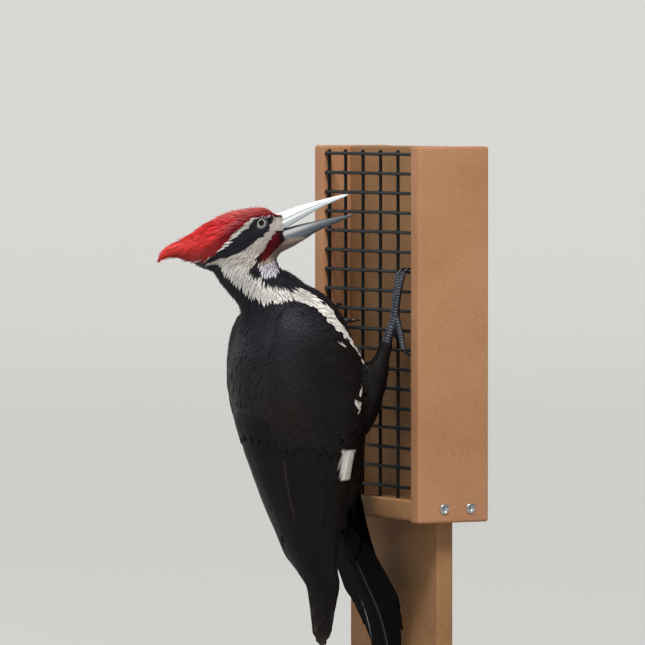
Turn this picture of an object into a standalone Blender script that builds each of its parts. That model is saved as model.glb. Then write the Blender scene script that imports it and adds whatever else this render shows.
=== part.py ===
"""Male pileated woodpecker, life size, clinging to a short cut length of a suet feeder on a display stand.

All sizes are in millimetres and are turned into metres when a mesh is made. The bird's objects hang on the
empty "bird", whose origin is at floor level where the bird's middle plane meets the plane of the wires:
+X points into the perch, +Z up and +Y to the bird's left. The head's objects hang on the empty "head_frame",
midway between the eyes, with +X along the head towards the bill. The row's origin is the centre of the
underside of the stand's base.
"""

import math

import bmesh
import bpy
import numpy as np
from mathutils import Vector

MM = 0.001
GAP = 0.35  # clear space between neighbouring solids
SIDES = ("left", "right")

# Display stand
BASE_LENGTH, BASE_WIDTH, BASE_HEIGHT = 214.0, 184.0, 18.0
BASE_CORNER_RADIUS, BASE_EDGE_BEVEL = 26.0, 3.0
ROD_RADIUS, ROD_SPACING = 4.0, 70.0

# Perch: a cut length of a wire-fronted suet feeder with its tail prop
WIRE_PLANE_X = 20.0
PERCH_TOP, PERCH_BOTTOM = 421.0, 46.0
CAGE_BOTTOM = 177.3
CAGE_INNER_WIDTH, CAGE_DEPTH, CAGE_PROUD = 120.4, 52.0, 3.5
BOARD_THICKNESS = 12.0
PROP_FRONT_X = 17.0  # front face of the tail prop, behind the wire plane
RAIL_HEIGHT = 14.6
BOARD_BEVEL = 1.6
WIRE_RADIUS, WIRE_SIDES = 1.1, 4
CELL_HEIGHT, LOWEST_WIRE_Z, ROW_COUNT = 12.72, 199.6, 18
CELL_WIDTH, COLUMN_COUNT = 24.08, 5
SCREW_RADIUS, SCREW_HEIGHT = 3.4, 1.0

# Bird
BIRD_Y = -4.0  # the bird's middle plane, in the row frame
HEAD_AT, HEAD_PITCH, HEAD_YAW = (-89.0, 0.0, 369.9), 12.0, -10.0
EYE_AT, EYE_RADIUS = (1.8, 8.7, 1.2), 4.7
BODY_SIDES, HEAD_SIDES, CREST_SIDES = 16, 14, 12

# Neck and trunk: centre x, centre z, reach to the back, reach to the belly, half width
NECK_ROWS = [
    (-106.0, 356.0, 15.0, 13.5, 14.0),
    (-97.5, 344.5, 18.5, 15.5, 16.5),
    (-84.5, 332.5, 19.5, 17.5, 19.0),
    (-75.5, 323.0, 23.0, 22.0, 24.0),
]
TRUNK_ROWS = [
    (-69.5, 313.0, 30.0, 30.0, 31.0),
    (-62.5, 300.0, 37.5, 37.0, 38.0),
    (-59.0, 280.0, 41.8, 42.0, 42.0),
    (-55.5, 254.0, 41.8, 44.0, 42.0),
    (-50.5, 226.0, 36.5, 41.0, 38.0),
    (-43.5, 200.0, 27.0, 34.0, 31.0),
    (-36.5, 184.0, 18.0, 28.0, 24.0),
    (-28.0, 170.0, 8.0, 18.0, 16.0),
]

# Head and crest, in the head frame: x, top, bottom, half width
HEAD_ROWS = [
    (19.5, 3.4, -16.6, 6.8),
    (14.5, 5.6, -21.5, 9.4),
    (7.0, 8.0, -26.6, 12.4),
    (-3.0, 9.6, -28.6, 15.2),
    (-14.0, 9.6, -28.0, 17.0),
    (-25.0, 7.6, -25.8, 16.6),
    (-35.0, 2.6, -22.0, 13.2),
    (-41.5, -4.5, -17.5, 7.5),
    (-43.5, -8.6, -13.4, 3.0),
]
CREST_ROWS = [
    (20.4, 4.6, 1.0, 3.8),
    (13.0, 8.2, -1.0, 9.6),
    (3.0, 10.8, -1.0, 14.2),
    (-8.0, 11.6, -3.0, 17.2),
    (-19.0, 10.6, -8.0, 18.3),
    (-30.0, 7.9, -14.0, 16.8),
    (-40.0, 4.1, -17.0, 12.4),
    (-48.0, 1.8, -13.0, 7.6),
    (-55.0, 0.2, -8.4, 4.4),
    (-61.0, -1.4, -7.8, 2.8),
    (-65.0, -4.4, -8.8, 1.6),
    (-66.6, -7.2, -9.4, 0.7),
]
# Bill, in the head frame: x, ridge or keel height, cutting edge height, half width
UPPER_BILL_ROWS = [
    (9.0, 3.6, -8.4, 7.6),
    (20.0, 4.2, -5.7, 7.3),
    (32.0, 5.5, -2.3, 5.9),
    (44.0, 6.1, 0.9, 4.5),
    (56.0, 6.4, 3.3, 3.0),
    (64.0, 6.4, 4.6, 1.9),
    (67.6, 6.1, 5.2, 1.2),
]
LOWER_BILL_ROWS = [
    (9.0, -20.6, -8.0, 7.2),
    (20.0, -20.2, -7.5, 6.8),
    (32.0, -16.8, -7.0, 5.3),
    (42.0, -13.4, -6.9, 4.2),
    (56.0, -10.9, -7.1, 2.7),
    (65.0, -9.3, -7.6, 1.6),
    (68.6, -8.6, -7.8, 1.0),
]
GAPE_X, GAPE_Z = 12.6, -8.0

# Folded wing: z, centre x, reach to the back, half width, angle of the back edge, angle of the breast
# edge, thickness. Angles are in degrees round the body from the middle of the back.
WING_ROWS = [
    (318.5, -68.8, 25.0, 28.8, 72.0, 110.0, 2.2),
    (312.0, -67.0, 31.5, 35.0, 54.0, 126.0, 4.2),
    (302.0, -62.8, 38.5, 42.6, 42.0, 135.0, 5.4),
    (286.0, -58.8, 44.0, 47.8, 36.0, 139.0, 6.0),
    (270.0, -56.0, 46.4, 49.6, 34.0, 137.0, 6.0),
    (254.0, -53.5, 46.4, 49.4, 32.0, 130.0, 6.0),
    (238.0, -51.8, 43.4, 47.0, 29.0, 128.0, 6.0),
    (222.0, -52.1, 37.6, 44.0, 25.0, 128.0, 5.8),
    (206.0, -51.9, 31.6, 40.4, 20.0, 129.0, 5.4),
    (190.0, -50.8, 26.4, 35.4, 14.0, 126.0, 4.9),
    (170.0, -47.5, 21.0, 29.6, 8.0, 118.0, 4.0),
    (152.0, -44.0, 16.5, 24.0, 5.0, 108.0, 3.0),
]
PRIMARY_ROWS = [
    (141.0, -41.0, 13.0, 22.5, 5.0, 111.0, 2.4),
    (135.0, -38.0, 11.5, 20.5, 11.0, 107.0, 2.1),
    (118.0, -35.5, 11.5, 15.5, 14.0, 84.0, 1.8),
    (105.0, -34.5, 11.0, 12.5, 14.0, 76.0, 1.5),
    (98.0, -34.3, 10.5, 11.0, 17.0, 70.0, 1.2),
]
# The left wing's tip is tucked under the right one: how far ahead and towards the middle it is carried
TIP_TUCK, TUCK_START, TUCK_END = {"left": (5.0, -9.0), "right": (0.0, 0.0)}, 146.0, 132.0
WING_COLUMNS = 8
WING_EDGE = 0.8

# Tail: feathers from the middle pair outwards: length, tip's reach to the side, half width
TAIL_FEATHERS = [
    (128.0, 4.5, 9.0),
    (121.0, 11.0, 8.6),
    (109.0, 18.5, 8.2),
    (95.0, 26.0, 7.8),
    (80.0, 32.0, 7.2),
]
TAIL_LINE = [(-34.0, 190.0), (-19.0, 160.0), (-4.5, 131.0), (3.5, 114.0), (9.0, 94.0), (12.6, 66.0)]
TAIL_THICKNESS, TAIL_LAYER, TAIL_ROOT_SPREAD = 1.6, 0.3, 2.4

# Legs: points are x, y outwards from the middle plane, z, in the bird's frame
THIGH_LINE = {
    "left": [(-30.0, 22.0, 245.0), (-22.0, 28.0, 257.0), (-17.0, 37.0, 270.0), (-14.5, 42.0, 279.0), (-12.0, 44.5, 287.0)],
    "right": [(-30.0, 22.0, 245.0), (-22.0, 27.0, 257.0), (-17.5, 36.0, 274.0), (-14.8, 38.5, 283.0), (-12.2, 39.4, 291.0)],
}
THIGH_RADII = [17.0, 13.0, 8.3, 5.2, 3.5]
ANKLE = {"left": (-11.9, 44.6, 287.6), "right": (-12.0, 39.5, 291.8)}
FOOT = {"left": (-6.6, 47.0, 304.0), "right": (-6.6, 42.5, 311.0)}
TARSUS_RADII = [3.3, 2.9, 2.8, 3.2]
# Toes: y outwards and z of the toe's end, and the toe's radius
TOES = {
    "left": {
        "inner_front": (24.0, 306.0, 1.9),
        "outer_front": (46.0, 314.0, 2.1),
        "outer_hind": (54.5, 285.5, 2.0),
        "hallux": (35.0, 288.8, 1.6),
    },
    "right": {
        "inner_front": (43.6, 338.3, 1.9),
        "outer_front": (50.2, 338.6, 2.1),
        "outer_hind": (50.4, 289.8, 2.0),
        "hallux": (38.2, 299.6, 1.6),
    },
}
TOE_X = -5.0
CLAW_LENGTH, CLAW_BEND = 9.0, math.radians(105.0)

COLOURS = {
    "black_plumage": ((0.018, 0.017, 0.017), 0.55, 0.0),
    "white_plumage": ((0.72, 0.71, 0.68), 0.8, 0.0),
    "red_crest": ((0.62, 0.018, 0.02), 0.7, 0.0),
    "bill_horn": ((0.42, 0.43, 0.42), 0.35, 0.0),
    "eye": ((0.03, 0.025, 0.02), 0.08, 0.0),
    "leg_scale": ((0.11, 0.13, 0.15), 0.55, 0.0),
    "claw_horn": ((0.05, 0.05, 0.055), 0.35, 0.0),
    "composite_board": ((0.42, 0.22, 0.12), 0.75, 0.0),
    "coated_wire": ((0.015, 0.02, 0.02), 0.4, 0.0),
    "steel": ((0.6, 0.6, 0.6), 0.35, 1.0),
    "stand_wood": ((0.11, 0.055, 0.03), 0.4, 0.0),
}


def clear_scene():
    for obj in list(bpy.data.objects):
        bpy.data.objects.remove(obj, do_unlink=True)


def make_materials():
    """One Principled material for each named finish."""
    made = {}
    for name, (colour, roughness, metallic) in COLOURS.items():
        made[name] = bpy.data.materials.new(name)
        made[name].use_nodes = True
        shader = made[name].node_tree.nodes["Principled BSDF"]
        shader.inputs["Base Color"].default_value = (*colour, 1.0)
        shader.inputs["Roughness"].default_value = roughness
        shader.inputs["Metallic"].default_value = metallic
    return made


def add_empty(name, location, rotation_degrees=(0.0, 0.0, 0.0), parent=None):
    empty = bpy.data.objects.new(name, None)
    empty.location = Vector(location) * MM
    empty.rotation_euler = [math.radians(angle) for angle in rotation_degrees]
    empty.parent = parent
    bpy.context.scene.collection.objects.link(empty)
    return empty


def add_mesh(name, points, faces, material, parent=None, location=(0.0, 0.0, 0.0)):
    """An object from points in millimetres, with its faces turned outwards."""
    mesh = bpy.data.meshes.new(name)
    mesh.from_pydata([tuple(np.asarray(point) * MM) for point in points], [], faces)
    sheet = bmesh.new()
    sheet.from_mesh(mesh)
    bmesh.ops.recalc_face_normals(sheet, faces=sheet.faces)
    sheet.to_mesh(mesh)
    sheet.free()
    mesh.shade_smooth()
    mesh.set_sharp_from_angle(angle=math.radians(40.0))
    mesh.materials.append(material)
    obj = bpy.data.objects.new(name, mesh)
    obj.location = Vector(location) * MM
    obj.parent = parent
    bpy.context.scene.collection.objects.link(obj)
    return obj


def loft_faces(ring_count, sides, split):
    """Quads between neighbouring rings, or pairs of triangles if split, and a cap on each end ring."""
    faces = []
    for ring in range(ring_count - 1):
        for side in range(sides):
            after = (side + 1) % sides
            low, high = ring * sides, (ring + 1) * sides
            quad = (low + side, low + after, high + after, high + side)
            faces += [quad[:3], (quad[0], *quad[2:])] if split else [quad]
    faces.append(tuple(range(sides - 1, -1, -1)))
    faces.append(tuple(range((ring_count - 1) * sides, ring_count * sides)))
    return faces


def add_loft(name, rings, material, parent=None, split=True):
    points = [point for ring in rings for point in ring]
    return add_mesh(name, points, loft_faces(len(rings), len(rings[0]), split), material, parent)


def smooth_rows(rows, steps):
    """Catmull-Rom values through the rows, with that many steps between neighbours."""
    rows = np.array(rows, float)
    ends = np.vstack([2 * rows[0] - rows[1], rows, 2 * rows[-1] - rows[-2]])
    found = []
    for index in range(len(rows) - 1):
        before, start, end, after = ends[index : index + 4]
        for step in range(steps):
            t = step / steps
            found.append(
                0.5
                * (
                    2 * start
                    + (end - before) * t
                    + (2 * before - 5 * start + 4 * end - after) * t**2
                    + (3 * start - before - 3 * end + after) * t**3
                )
            )
    found.append(rows[-1])
    return np.array(found)


def body_rings(rows, sides):
    """Rings across a spine in the bird's middle plane, each square to the spine."""
    centres = rows[:, :2]
    tangents = np.gradient(centres, axis=0)
    tangents /= np.linalg.norm(tangents, axis=1)[:, None]
    rings = []
    for (x, z, back, belly, width), (along_x, along_z) in zip(rows, tangents):
        ring = []
        for side in range(sides):
            angle = 2 * math.pi * side / sides
            reach = math.cos(angle) * (back if math.cos(angle) > 0 else belly)
            ring.append((x + reach * along_z, width * math.sin(angle), z - reach * along_x))
        rings.append(ring)
    return rings


def upright_rings(rows, sides):
    """Rings across the head frame's x axis, from rows of x, top, bottom and half width."""
    rings = []
    for x, top, bottom, width in rows:
        middle, half = (top + bottom) / 2, (top - bottom) / 2
        angles = [2 * math.pi * side / sides for side in range(sides)]
        rings.append([(x, width * math.sin(a), middle + half * math.cos(a)) for a in angles])
    return rings


def bill_rings(rows):
    """Roof-shaped rings: a narrow ridge or keel, and a wide flat side at the cutting edges."""
    outline = [(0.0, 1.0), (0.38, 0.86), (0.76, 0.5), (1.0, 0.1), (0.9, 0.0)]
    outline += [(0.0, 0.08)] + [(-across, height) for across, height in reversed(outline[1:])]
    rings = []
    for x, ridge, edge, width in rows:
        rings.append([(x, width * across, edge + (ridge - edge) * up) for across, up in outline])
    return rings


def tube_rings(path, radii, sides):
    """Round rings along a path of 3-D points, without twist."""
    path = np.array(path, float)
    tangents = np.gradient(path, axis=0)
    tangents /= np.linalg.norm(tangents, axis=1)[:, None]
    across = np.cross(tangents[0], (0.31, 0.95, 0.05))
    rings = []
    for point, tangent, radius in zip(path, tangents, radii):
        across = across - tangent * (across @ tangent)
        across /= np.linalg.norm(across)
        other = np.cross(tangent, across)
        angles = [2 * math.pi * side / sides for side in range(sides)]
        rings.append(
            [point + radius * (math.cos(a) * across + math.sin(a) * other) for a in angles]
        )
    return rings


def clearance_cutter(obj, gap=GAP):
    """A hidden copy of a solid, swollen by the gap, that cuts its neighbours clear of it."""
    cutter = obj.copy()
    cutter.data = obj.data.copy()
    cutter.name = f"cutter_{obj.name}"
    for modifier in list(cutter.modifiers):
        cutter.modifiers.remove(modifier)
    normals = [vertex.normal.copy() for vertex in cutter.data.vertices]
    for vertex, normal in zip(cutter.data.vertices, normals):
        vertex.co += normal * gap * MM
    cutter.hide_render = True
    cutter.display_type = "WIRE"
    bpy.context.scene.collection.objects.link(cutter)
    return cutter


def add_boolean(obj, other, operation):
    modifier = obj.modifiers.new(f"{operation}_{other.name}", "BOOLEAN")
    modifier.operation = operation
    modifier.solver = "EXACT"
    modifier.object = other


def subtract(obj, *cutters):
    for cutter in cutters:
        add_boolean(obj, cutter, "DIFFERENCE")


def add_union(name, pieces, material, parent=None):
    """One object that is the union of overlapping pieces, which stay as hidden guides."""
    first, *others = pieces
    first.name = name
    first.data.materials.clear()
    first.data.materials.append(material)
    for other in others:
        other.hide_render = True
        other.display_type = "WIRE"
        add_boolean(first, other, "UNION")
    first.parent = parent
    return first


def add_box(name, low, high, material, parent=None, bevel=0.0):
    low, high = np.array(low, float), np.array(high, float)
    middle, half = (low + high) / 2, (high - low) / 2
    signs = [(x, y, z) for z in (-1, 1) for y in (-1, 1) for x in (-1, 1)]
    faces = [(0, 2, 3, 1), (4, 5, 7, 6), (0, 1, 5, 4), (2, 6, 7, 3), (0, 4, 6, 2), (1, 3, 7, 5)]
    obj = add_mesh(name, [half * sign for sign in signs], faces, material, parent, middle)
    if bevel:
        add_bevel(obj, bevel)
    return obj


def add_bevel(obj, width, segments=1):
    modifier = obj.modifiers.new("edges", "BEVEL")
    modifier.width = width * MM
    modifier.segments = segments
    modifier.limit_method = "ANGLE"
    modifier.angle_limit = math.radians(50.0)


def build_stand(materials):
    """The flat base and the two short rods that hold the perch."""
    outline = []
    for corner, (sign_x, sign_y) in enumerate([(1, 1), (-1, 1), (-1, -1), (1, -1)]):
        for step in range(7):
            angle = math.radians(90.0 * corner + 15.0 * step)
            outline.append(
                (
                    sign_x * (BASE_LENGTH / 2 - BASE_CORNER_RADIUS) + BASE_CORNER_RADIUS * math.cos(angle),
                    sign_y * (BASE_WIDTH / 2 - BASE_CORNER_RADIUS) + BASE_CORNER_RADIUS * math.sin(angle),
                )
            )
    rings = [[(x, y, z) for x, y in outline] for z in (0.0, BASE_HEIGHT)]
    add_bevel(add_loft("stand_base", rings, materials["stand_wood"]), BASE_EDGE_BEVEL)
    for name, y in zip(SIDES, (ROD_SPACING / 2, -ROD_SPACING / 2)):
        x = WIRE_PLANE_X + PROP_FRONT_X + BOARD_THICKNESS / 2
        ends = [(x, y, BASE_HEIGHT + GAP), (x, y, PERCH_BOTTOM - GAP)]
        rings = tube_rings(ends, [ROD_RADIUS] * 2, 16)
        add_loft(f"stand_rod_{name}", rings, materials["steel"])


def build_boards(materials, perch):
    """Tail prop, side boards and the rails between them, as boxes that meet face to face."""
    board = materials["composite_board"]
    inner = CAGE_INNER_WIDTH / 2
    front, back = -CAGE_PROUD, CAGE_DEPTH - CAGE_PROUD
    prop_back = PROP_FRONT_X + BOARD_THICKNESS
    half_prop = inner - GAP
    add_box(
        "perch_tail_prop",
        (PROP_FRONT_X, -half_prop, PERCH_BOTTOM),
        (prop_back, half_prop, PERCH_TOP),
        board,
        perch,
        BOARD_BEVEL,
    )
    for name, sign in zip(SIDES, (1, -1)):
        near, far = sorted((sign * inner, sign * (inner + BOARD_THICKNESS)))
        add_box(
            f"perch_side_{name}", (front, near, CAGE_BOTTOM), (back, far, PERCH_TOP), board, perch, BOARD_BEVEL
        )
    rails = {
        "perch_rail_front": (front + 1.0, PROP_FRONT_X - GAP, CAGE_BOTTOM + 1.0, CAGE_BOTTOM + RAIL_HEIGHT),
        "perch_rail_back": (prop_back + GAP, back - 1.0, CAGE_BOTTOM + 1.0, CAGE_BOTTOM + RAIL_HEIGHT),
        "perch_rail_top": (prop_back + GAP, back - 1.0, PERCH_TOP - RAIL_HEIGHT, PERCH_TOP - 1.0),
    }
    for name, (x_low, x_high, z_low, z_high) in rails.items():
        add_box(name, (x_low, -half_prop, z_low), (x_high, half_prop, z_high), board, perch, BOARD_BEVEL / 2)


def build_wires(materials, perch):
    """The welded grid: level wires in front, upright wires behind, joined where they cross."""
    wire = materials["coated_wire"]
    half = CAGE_INNER_WIDTH / 2 - GAP
    bottom = CAGE_BOTTOM + RAIL_HEIGHT + GAP
    top = LOWEST_WIRE_Z + CELL_HEIGHT * (ROW_COUNT - 1) + WIRE_RADIUS
    seat = WIRE_RADIUS * 0.86
    pieces = []
    for row in range(ROW_COUNT):
        z = LOWEST_WIRE_Z + CELL_HEIGHT * row
        ends = [(-seat, -half, z), (-seat, half, z)]
        rings = tube_rings(ends, [WIRE_RADIUS] * 2, WIRE_SIDES)
        pieces.append(add_loft(f"level_wire_{row}", rings, wire, perch, split=False))
    for column in range(COLUMN_COUNT + 1):
        y = CELL_WIDTH * (column - COLUMN_COUNT / 2)
        y = max(-half + WIRE_RADIUS, min(half - WIRE_RADIUS, y))
        ends = [(seat, y, bottom), (seat, y, top + 1.5)]
        rings = tube_rings(ends, [WIRE_RADIUS] * 2, WIRE_SIDES)
        pieces.append(add_loft(f"upright_wire_{column}", rings, wire, perch, split=False))
    add_union("perch_wires", pieces, wire, perch)


def build_screws(materials, perch):
    """Two screw heads at the foot of each side board."""
    for name, sign in zip(SIDES, (1, -1)):
        face = sign * (CAGE_INNER_WIDTH / 2 + BOARD_THICKNESS + GAP)
        for place, x in (("front", 15.5), ("back", 35.0)):
            ends = [(x, face, CAGE_BOTTOM + 9.0), (x, face + sign * SCREW_HEIGHT, CAGE_BOTTOM + 9.0)]
            rings = tube_rings(ends, [SCREW_RADIUS, SCREW_RADIUS * 0.86], 12)
            add_loft(f"perch_screw_{name}_{place}", rings, materials["steel"], perch)


def build_head(materials, head_frame):
    """Head, crest, bill and eyes. Returns the swollen head, which cuts the neck."""
    white, red, horn = (materials[name] for name in ("white_plumage", "red_crest", "bill_horn"))
    head = add_loft("head", upright_rings(smooth_rows(HEAD_ROWS, 2), HEAD_SIDES), white, head_frame)
    crest = add_loft("crest", upright_rings(smooth_rows(CREST_ROWS, 1), CREST_SIDES), red, head_frame)
    head_cutter, crest_cutter = clearance_cutter(head), clearance_cutter(crest)
    subtract(crest, head_cutter)
    mouth = add_mesh(
        "cutter_mouth",
        [(GAPE_X, y, GAPE_Z + z) for y in (-12, 12) for z in (0.0,)]
        + [(GAPE_X + 16.0, y, GAPE_Z + z) for y in (-12, 12) for z in (0.6, 4.2)],
        [(0, 2, 3), (1, 5, 4), (0, 1, 4, 2), (0, 3, 5, 1), (2, 4, 5, 3)],
        horn,
        head_frame,
    )
    mouth.hide_render = True
    mouth.display_type = "WIRE"
    subtract(head, mouth)
    for name, rows in (("upper_bill", UPPER_BILL_ROWS), ("lower_bill", LOWER_BILL_ROWS)):
        bill = add_loft(name, bill_rings(smooth_rows(rows, 1)), horn, head_frame)
        subtract(bill, head_cutter, crest_cutter)
    for name, sign in zip(SIDES, (1, -1)):
        eye = add_eye(f"eye_{name}", sign, materials["eye"], head_frame)
        eye_cutter = clearance_cutter(eye)
        subtract(head, eye_cutter)
        subtract(crest, eye_cutter)
    return head_cutter, crest_cutter


def add_eye(name, sign, material, parent):
    ball = bmesh.new()
    bmesh.ops.create_uvsphere(ball, u_segments=10, v_segments=7, radius=EYE_RADIUS)
    points = [tuple(vertex.co) for vertex in ball.verts]
    faces = [tuple(vertex.index for vertex in face.verts) for face in ball.faces]
    ball.free()
    x, y, z = EYE_AT
    return add_mesh(name, points, faces, material, parent, (x, sign * y, z))


def build_wing(name, sign, material, bird):
    """A folded wing: a curved plate that follows the body's side and narrows to the primaries' tips."""
    rows = WING_ROWS + PRIMARY_ROWS
    ahead, over = TIP_TUCK[name.removeprefix("wing_")]
    rings = []
    for z, x, back, width, first, last, thickness in rows:
        tuck = min(1.0, max(0.0, (TUCK_START - z) / (TUCK_START - TUCK_END)))
        outer, inner = [], []
        for column in range(WING_COLUMNS):
            share = column / (WING_COLUMNS - 1)
            angle = math.radians(first + (last - first) * share)
            depth = WING_EDGE + (thickness - WING_EDGE) * math.sin(math.pi * share) ** 0.6
            for line, inset in ((outer, 0.0), (inner, min(depth, thickness))):
                at_x = x - (back - inset) * math.cos(angle) + tuck * ahead
                at_y = sign * (width - inset) * math.sin(angle) + tuck * over * sign
                line.append((at_x, at_y, z))
        rings.append(outer + inner[::-1])
    return add_loft(name, rings, material, bird)


def tail_point(distance, line):
    """The point and the downward direction on the tail's line at a distance from its root."""
    steps = np.linalg.norm(np.diff(line, axis=0), axis=1)
    travelled = np.concatenate([[0.0], np.cumsum(steps)])
    x = np.interp(distance, travelled, line[:, 0])
    z = np.interp(distance, travelled, line[:, 1])
    return x, z


def build_tail(material, bird):
    """Ten stiff pointed feathers, overlapping from the middle pair outwards, joined in one solid."""
    line = smooth_rows(TAIL_LINE, 4)
    shares = [(0.0, 0.5), (0.3, 0.8), (0.62, 1.0), (0.8, 0.92), (0.92, 0.55), (1.0, 0.12)]
    pieces = []
    for pair, (length, reach, width) in enumerate(TAIL_FEATHERS):
        for side, sign in zip(SIDES, (1, -1)):
            rings = []
            for share, fullness in shares:
                x, z = tail_point(length * share, line)
                x += TAIL_LAYER * pair - 0.25 * TAIL_LAYER * (side == "left")
                root = TAIL_ROOT_SPREAD * (pair + 0.5)
                y = sign * (root + (reach - root) * min(1.0, share * 1.25))
                half = width * fullness
                thin = TAIL_THICKNESS / 2
                rings.append(
                    [(x + to_x, y + to_y, z) for to_x, to_y in ((-thin, half), (thin, half), (thin, -half), (-thin, -half))]
                )
            pieces.append(add_loft(f"tail_feather_{pair}_{side}", rings, material, bird, split=False))
    return add_union("tail", pieces, material, bird)


def build_leg(side, sign, materials, bird):
    """Thigh, shank, the foot's four toes and their claws, on one side. Returns the thigh."""
    scale = materials["leg_scale"]
    line = smooth_rows([(x, sign * y, z) for x, y, z in THIGH_LINE[side]], 2)
    radii = smooth_rows([[radius] for radius in THIGH_RADII], 2)[:, 0]
    thigh = add_loft(f"thigh_{side}", tube_rings(line, radii, 12), materials["black_plumage"], bird)

    ankle, foot = (np.array((x, sign * y, z)) for x, y, z in (ANKLE[side], FOOT[side]))
    shank_points = [ankle + (foot - ankle) * share for share in (0.0, 0.3, 0.65, 0.86)]
    shank = add_loft(f"shank_{side}", tube_rings(shank_points, TARSUS_RADII, 9), scale, bird)
    subtract(shank, clearance_cutter(thigh))

    toes = []
    for name, (y, z, radius) in TOES[side].items():
        end = np.array((TOE_X, sign * y, z))
        knuckle = (foot + end) / 2 + np.array((-1.0 if z > foot[2] else 0.8, 0.0, 0.0))
        path = smooth_rows([foot, knuckle, end], 2)
        toe_radii = [radius * share for share in (1.35, 1.15, 1.05, 1.0, 0.85)]
        toe = add_loft(f"toe_{side}_{name}", tube_rings(path, toe_radii, 6), scale, bird)
        toe_cutter = clearance_cutter(toe)
        toes.append(toe)
        along = (path[-1] - path[-2]) / np.linalg.norm(path[-1] - path[-2])
        claw = add_claw(f"claw_{side}_{name}", end - along * 0.6, along, radius, materials["claw_horn"], bird)
        subtract(claw, toe_cutter)
    subtract(add_union(f"foot_{side}", toes, scale, bird), clearance_cutter(shank))
    return thigh


def add_claw(name, start, along, radius, material, parent):
    """A curved claw that leaves the toe's end and bends in towards the perch."""
    into = np.array((1.0, 0.0, 0.0))
    into -= along * (into @ along)
    into /= np.linalg.norm(into)
    arc = CLAW_LENGTH / CLAW_BEND
    path = []
    for bend in np.linspace(0.0, CLAW_BEND, 5):
        path.append(start + along * arc * math.sin(bend) + into * arc * (1 - math.cos(bend)))
    radii = radius * np.array([0.72, 0.74, 0.56, 0.36, 0.14])
    return add_loft(name, tube_rings(path, radii, 6), material, parent)


def build_bird(materials, bird, head_frame):
    black = materials["black_plumage"]
    head_cutter, crest_cutter = build_head(materials, head_frame)

    rows = smooth_rows(NECK_ROWS + TRUNK_ROWS, 2)
    rings = body_rings(rows, BODY_SIDES)
    split = 2 * len(NECK_ROWS) - 1
    downward = (rows[split + 1] - rows[split - 1])[:2]
    step_x, step_z = downward * GAP / np.linalg.norm(downward)
    seam = [(x + step_x, y, z + step_z) for x, y, z in rings[split]]
    neck = add_loft("neck", rings[: split + 1], materials["white_plumage"], bird)
    trunk = add_loft("trunk", [seam] + rings[split + 1 :], black, bird)

    wings = [build_wing(f"wing_{side}", sign, black, bird) for side, sign in zip(SIDES, (1, -1))]
    wing_cutters = [clearance_cutter(wing) for wing in wings]
    trunk_cutter = clearance_cutter(trunk)
    subtract(neck, head_cutter, crest_cutter, *wing_cutters)
    subtract(trunk, head_cutter, *wing_cutters)

    tail = build_tail(black, bird)
    subtract(tail, trunk_cutter)
    for side, sign, wing_cutter in zip(SIDES, (1, -1), wing_cutters):
        thigh = build_leg(side, sign, materials, bird)
        subtract(thigh, trunk_cutter, wing_cutter)


def main():
    clear_scene()
    materials = make_materials()
    build_stand(materials)
    perch = add_empty("perch", (WIRE_PLANE_X, 0.0, 0.0))
    build_boards(materials, perch)
    build_wires(materials, perch)
    build_screws(materials, perch)
    bird = add_empty("bird", (WIRE_PLANE_X, BIRD_Y, 0.0))
    head_frame = add_empty("head_frame", HEAD_AT, (0.0, -HEAD_PITCH, HEAD_YAW), bird)
    build_bird(materials, bird, head_frame)


if __name__ == "__main__":
    main()
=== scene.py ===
"""Looks of a life-size model of a male pileated woodpecker that clings to a cut length of wire-faced perch.

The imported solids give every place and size. One skin takes the place of the flesh. Feathers lie over it
as thin closed vanes that follow the lie of the plumage, and the bill, eyes, feet, perch and stand get
finished pieces of their own. Lengths are millimetres in the classes; the meshes are made in metres.
"""

import logging
import math
from dataclasses import astuple, dataclass, field
from enum import Enum
from typing import Callable, Sequence

import bmesh
import bpy
import numpy as np
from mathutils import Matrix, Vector, kdtree
from mathutils.bvhtree import BVHTree


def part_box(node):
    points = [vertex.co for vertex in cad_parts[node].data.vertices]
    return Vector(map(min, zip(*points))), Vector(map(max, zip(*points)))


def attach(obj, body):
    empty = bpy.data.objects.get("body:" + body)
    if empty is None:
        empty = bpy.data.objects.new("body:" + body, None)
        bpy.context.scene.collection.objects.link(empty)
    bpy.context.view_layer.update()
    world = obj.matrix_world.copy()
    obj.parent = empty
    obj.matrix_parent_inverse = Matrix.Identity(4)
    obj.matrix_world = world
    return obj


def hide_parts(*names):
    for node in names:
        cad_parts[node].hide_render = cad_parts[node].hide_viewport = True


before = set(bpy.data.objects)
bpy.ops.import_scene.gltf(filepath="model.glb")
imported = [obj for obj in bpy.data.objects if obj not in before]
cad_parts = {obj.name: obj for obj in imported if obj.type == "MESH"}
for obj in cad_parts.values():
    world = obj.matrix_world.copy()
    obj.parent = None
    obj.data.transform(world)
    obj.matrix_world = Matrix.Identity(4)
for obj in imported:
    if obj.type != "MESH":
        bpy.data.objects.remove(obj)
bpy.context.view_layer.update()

Array = np.ndarray
Piece = bpy.types.Object
Random = np.random.Generator
Rows = Sequence[Sequence[float]]
Socket = bpy.types.NodeSocket

MM = 0.001
FULL_TURN = 6.2832
SIDES = {"left": 1.0, "right": -1.0}
SEED = 7

# How much of the unwrap one feather takes.
VANE_SPAN = 0.003

# The bird's own frame stands in the row frame; the head's frame is turned and tipped inside the bird's.
BIRD_AT = np.array((20.0, -4.0, 0.0))
HEAD_AT = np.array((-89.0, 0.0, 369.9))
HEAD_PITCH, HEAD_YAW = math.radians(-12.0), math.radians(-10.0)
SPINE = ((-106, 356), (-97.5, 344.5), (-84.5, 332.5), (-75.5, 323), (-69.5, 313), (-62.5, 300), (-59, 280),
         (-55.5, 254), (-50.5, 226), (-43.5, 200), (-36.5, 184), (-28, 170))

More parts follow.
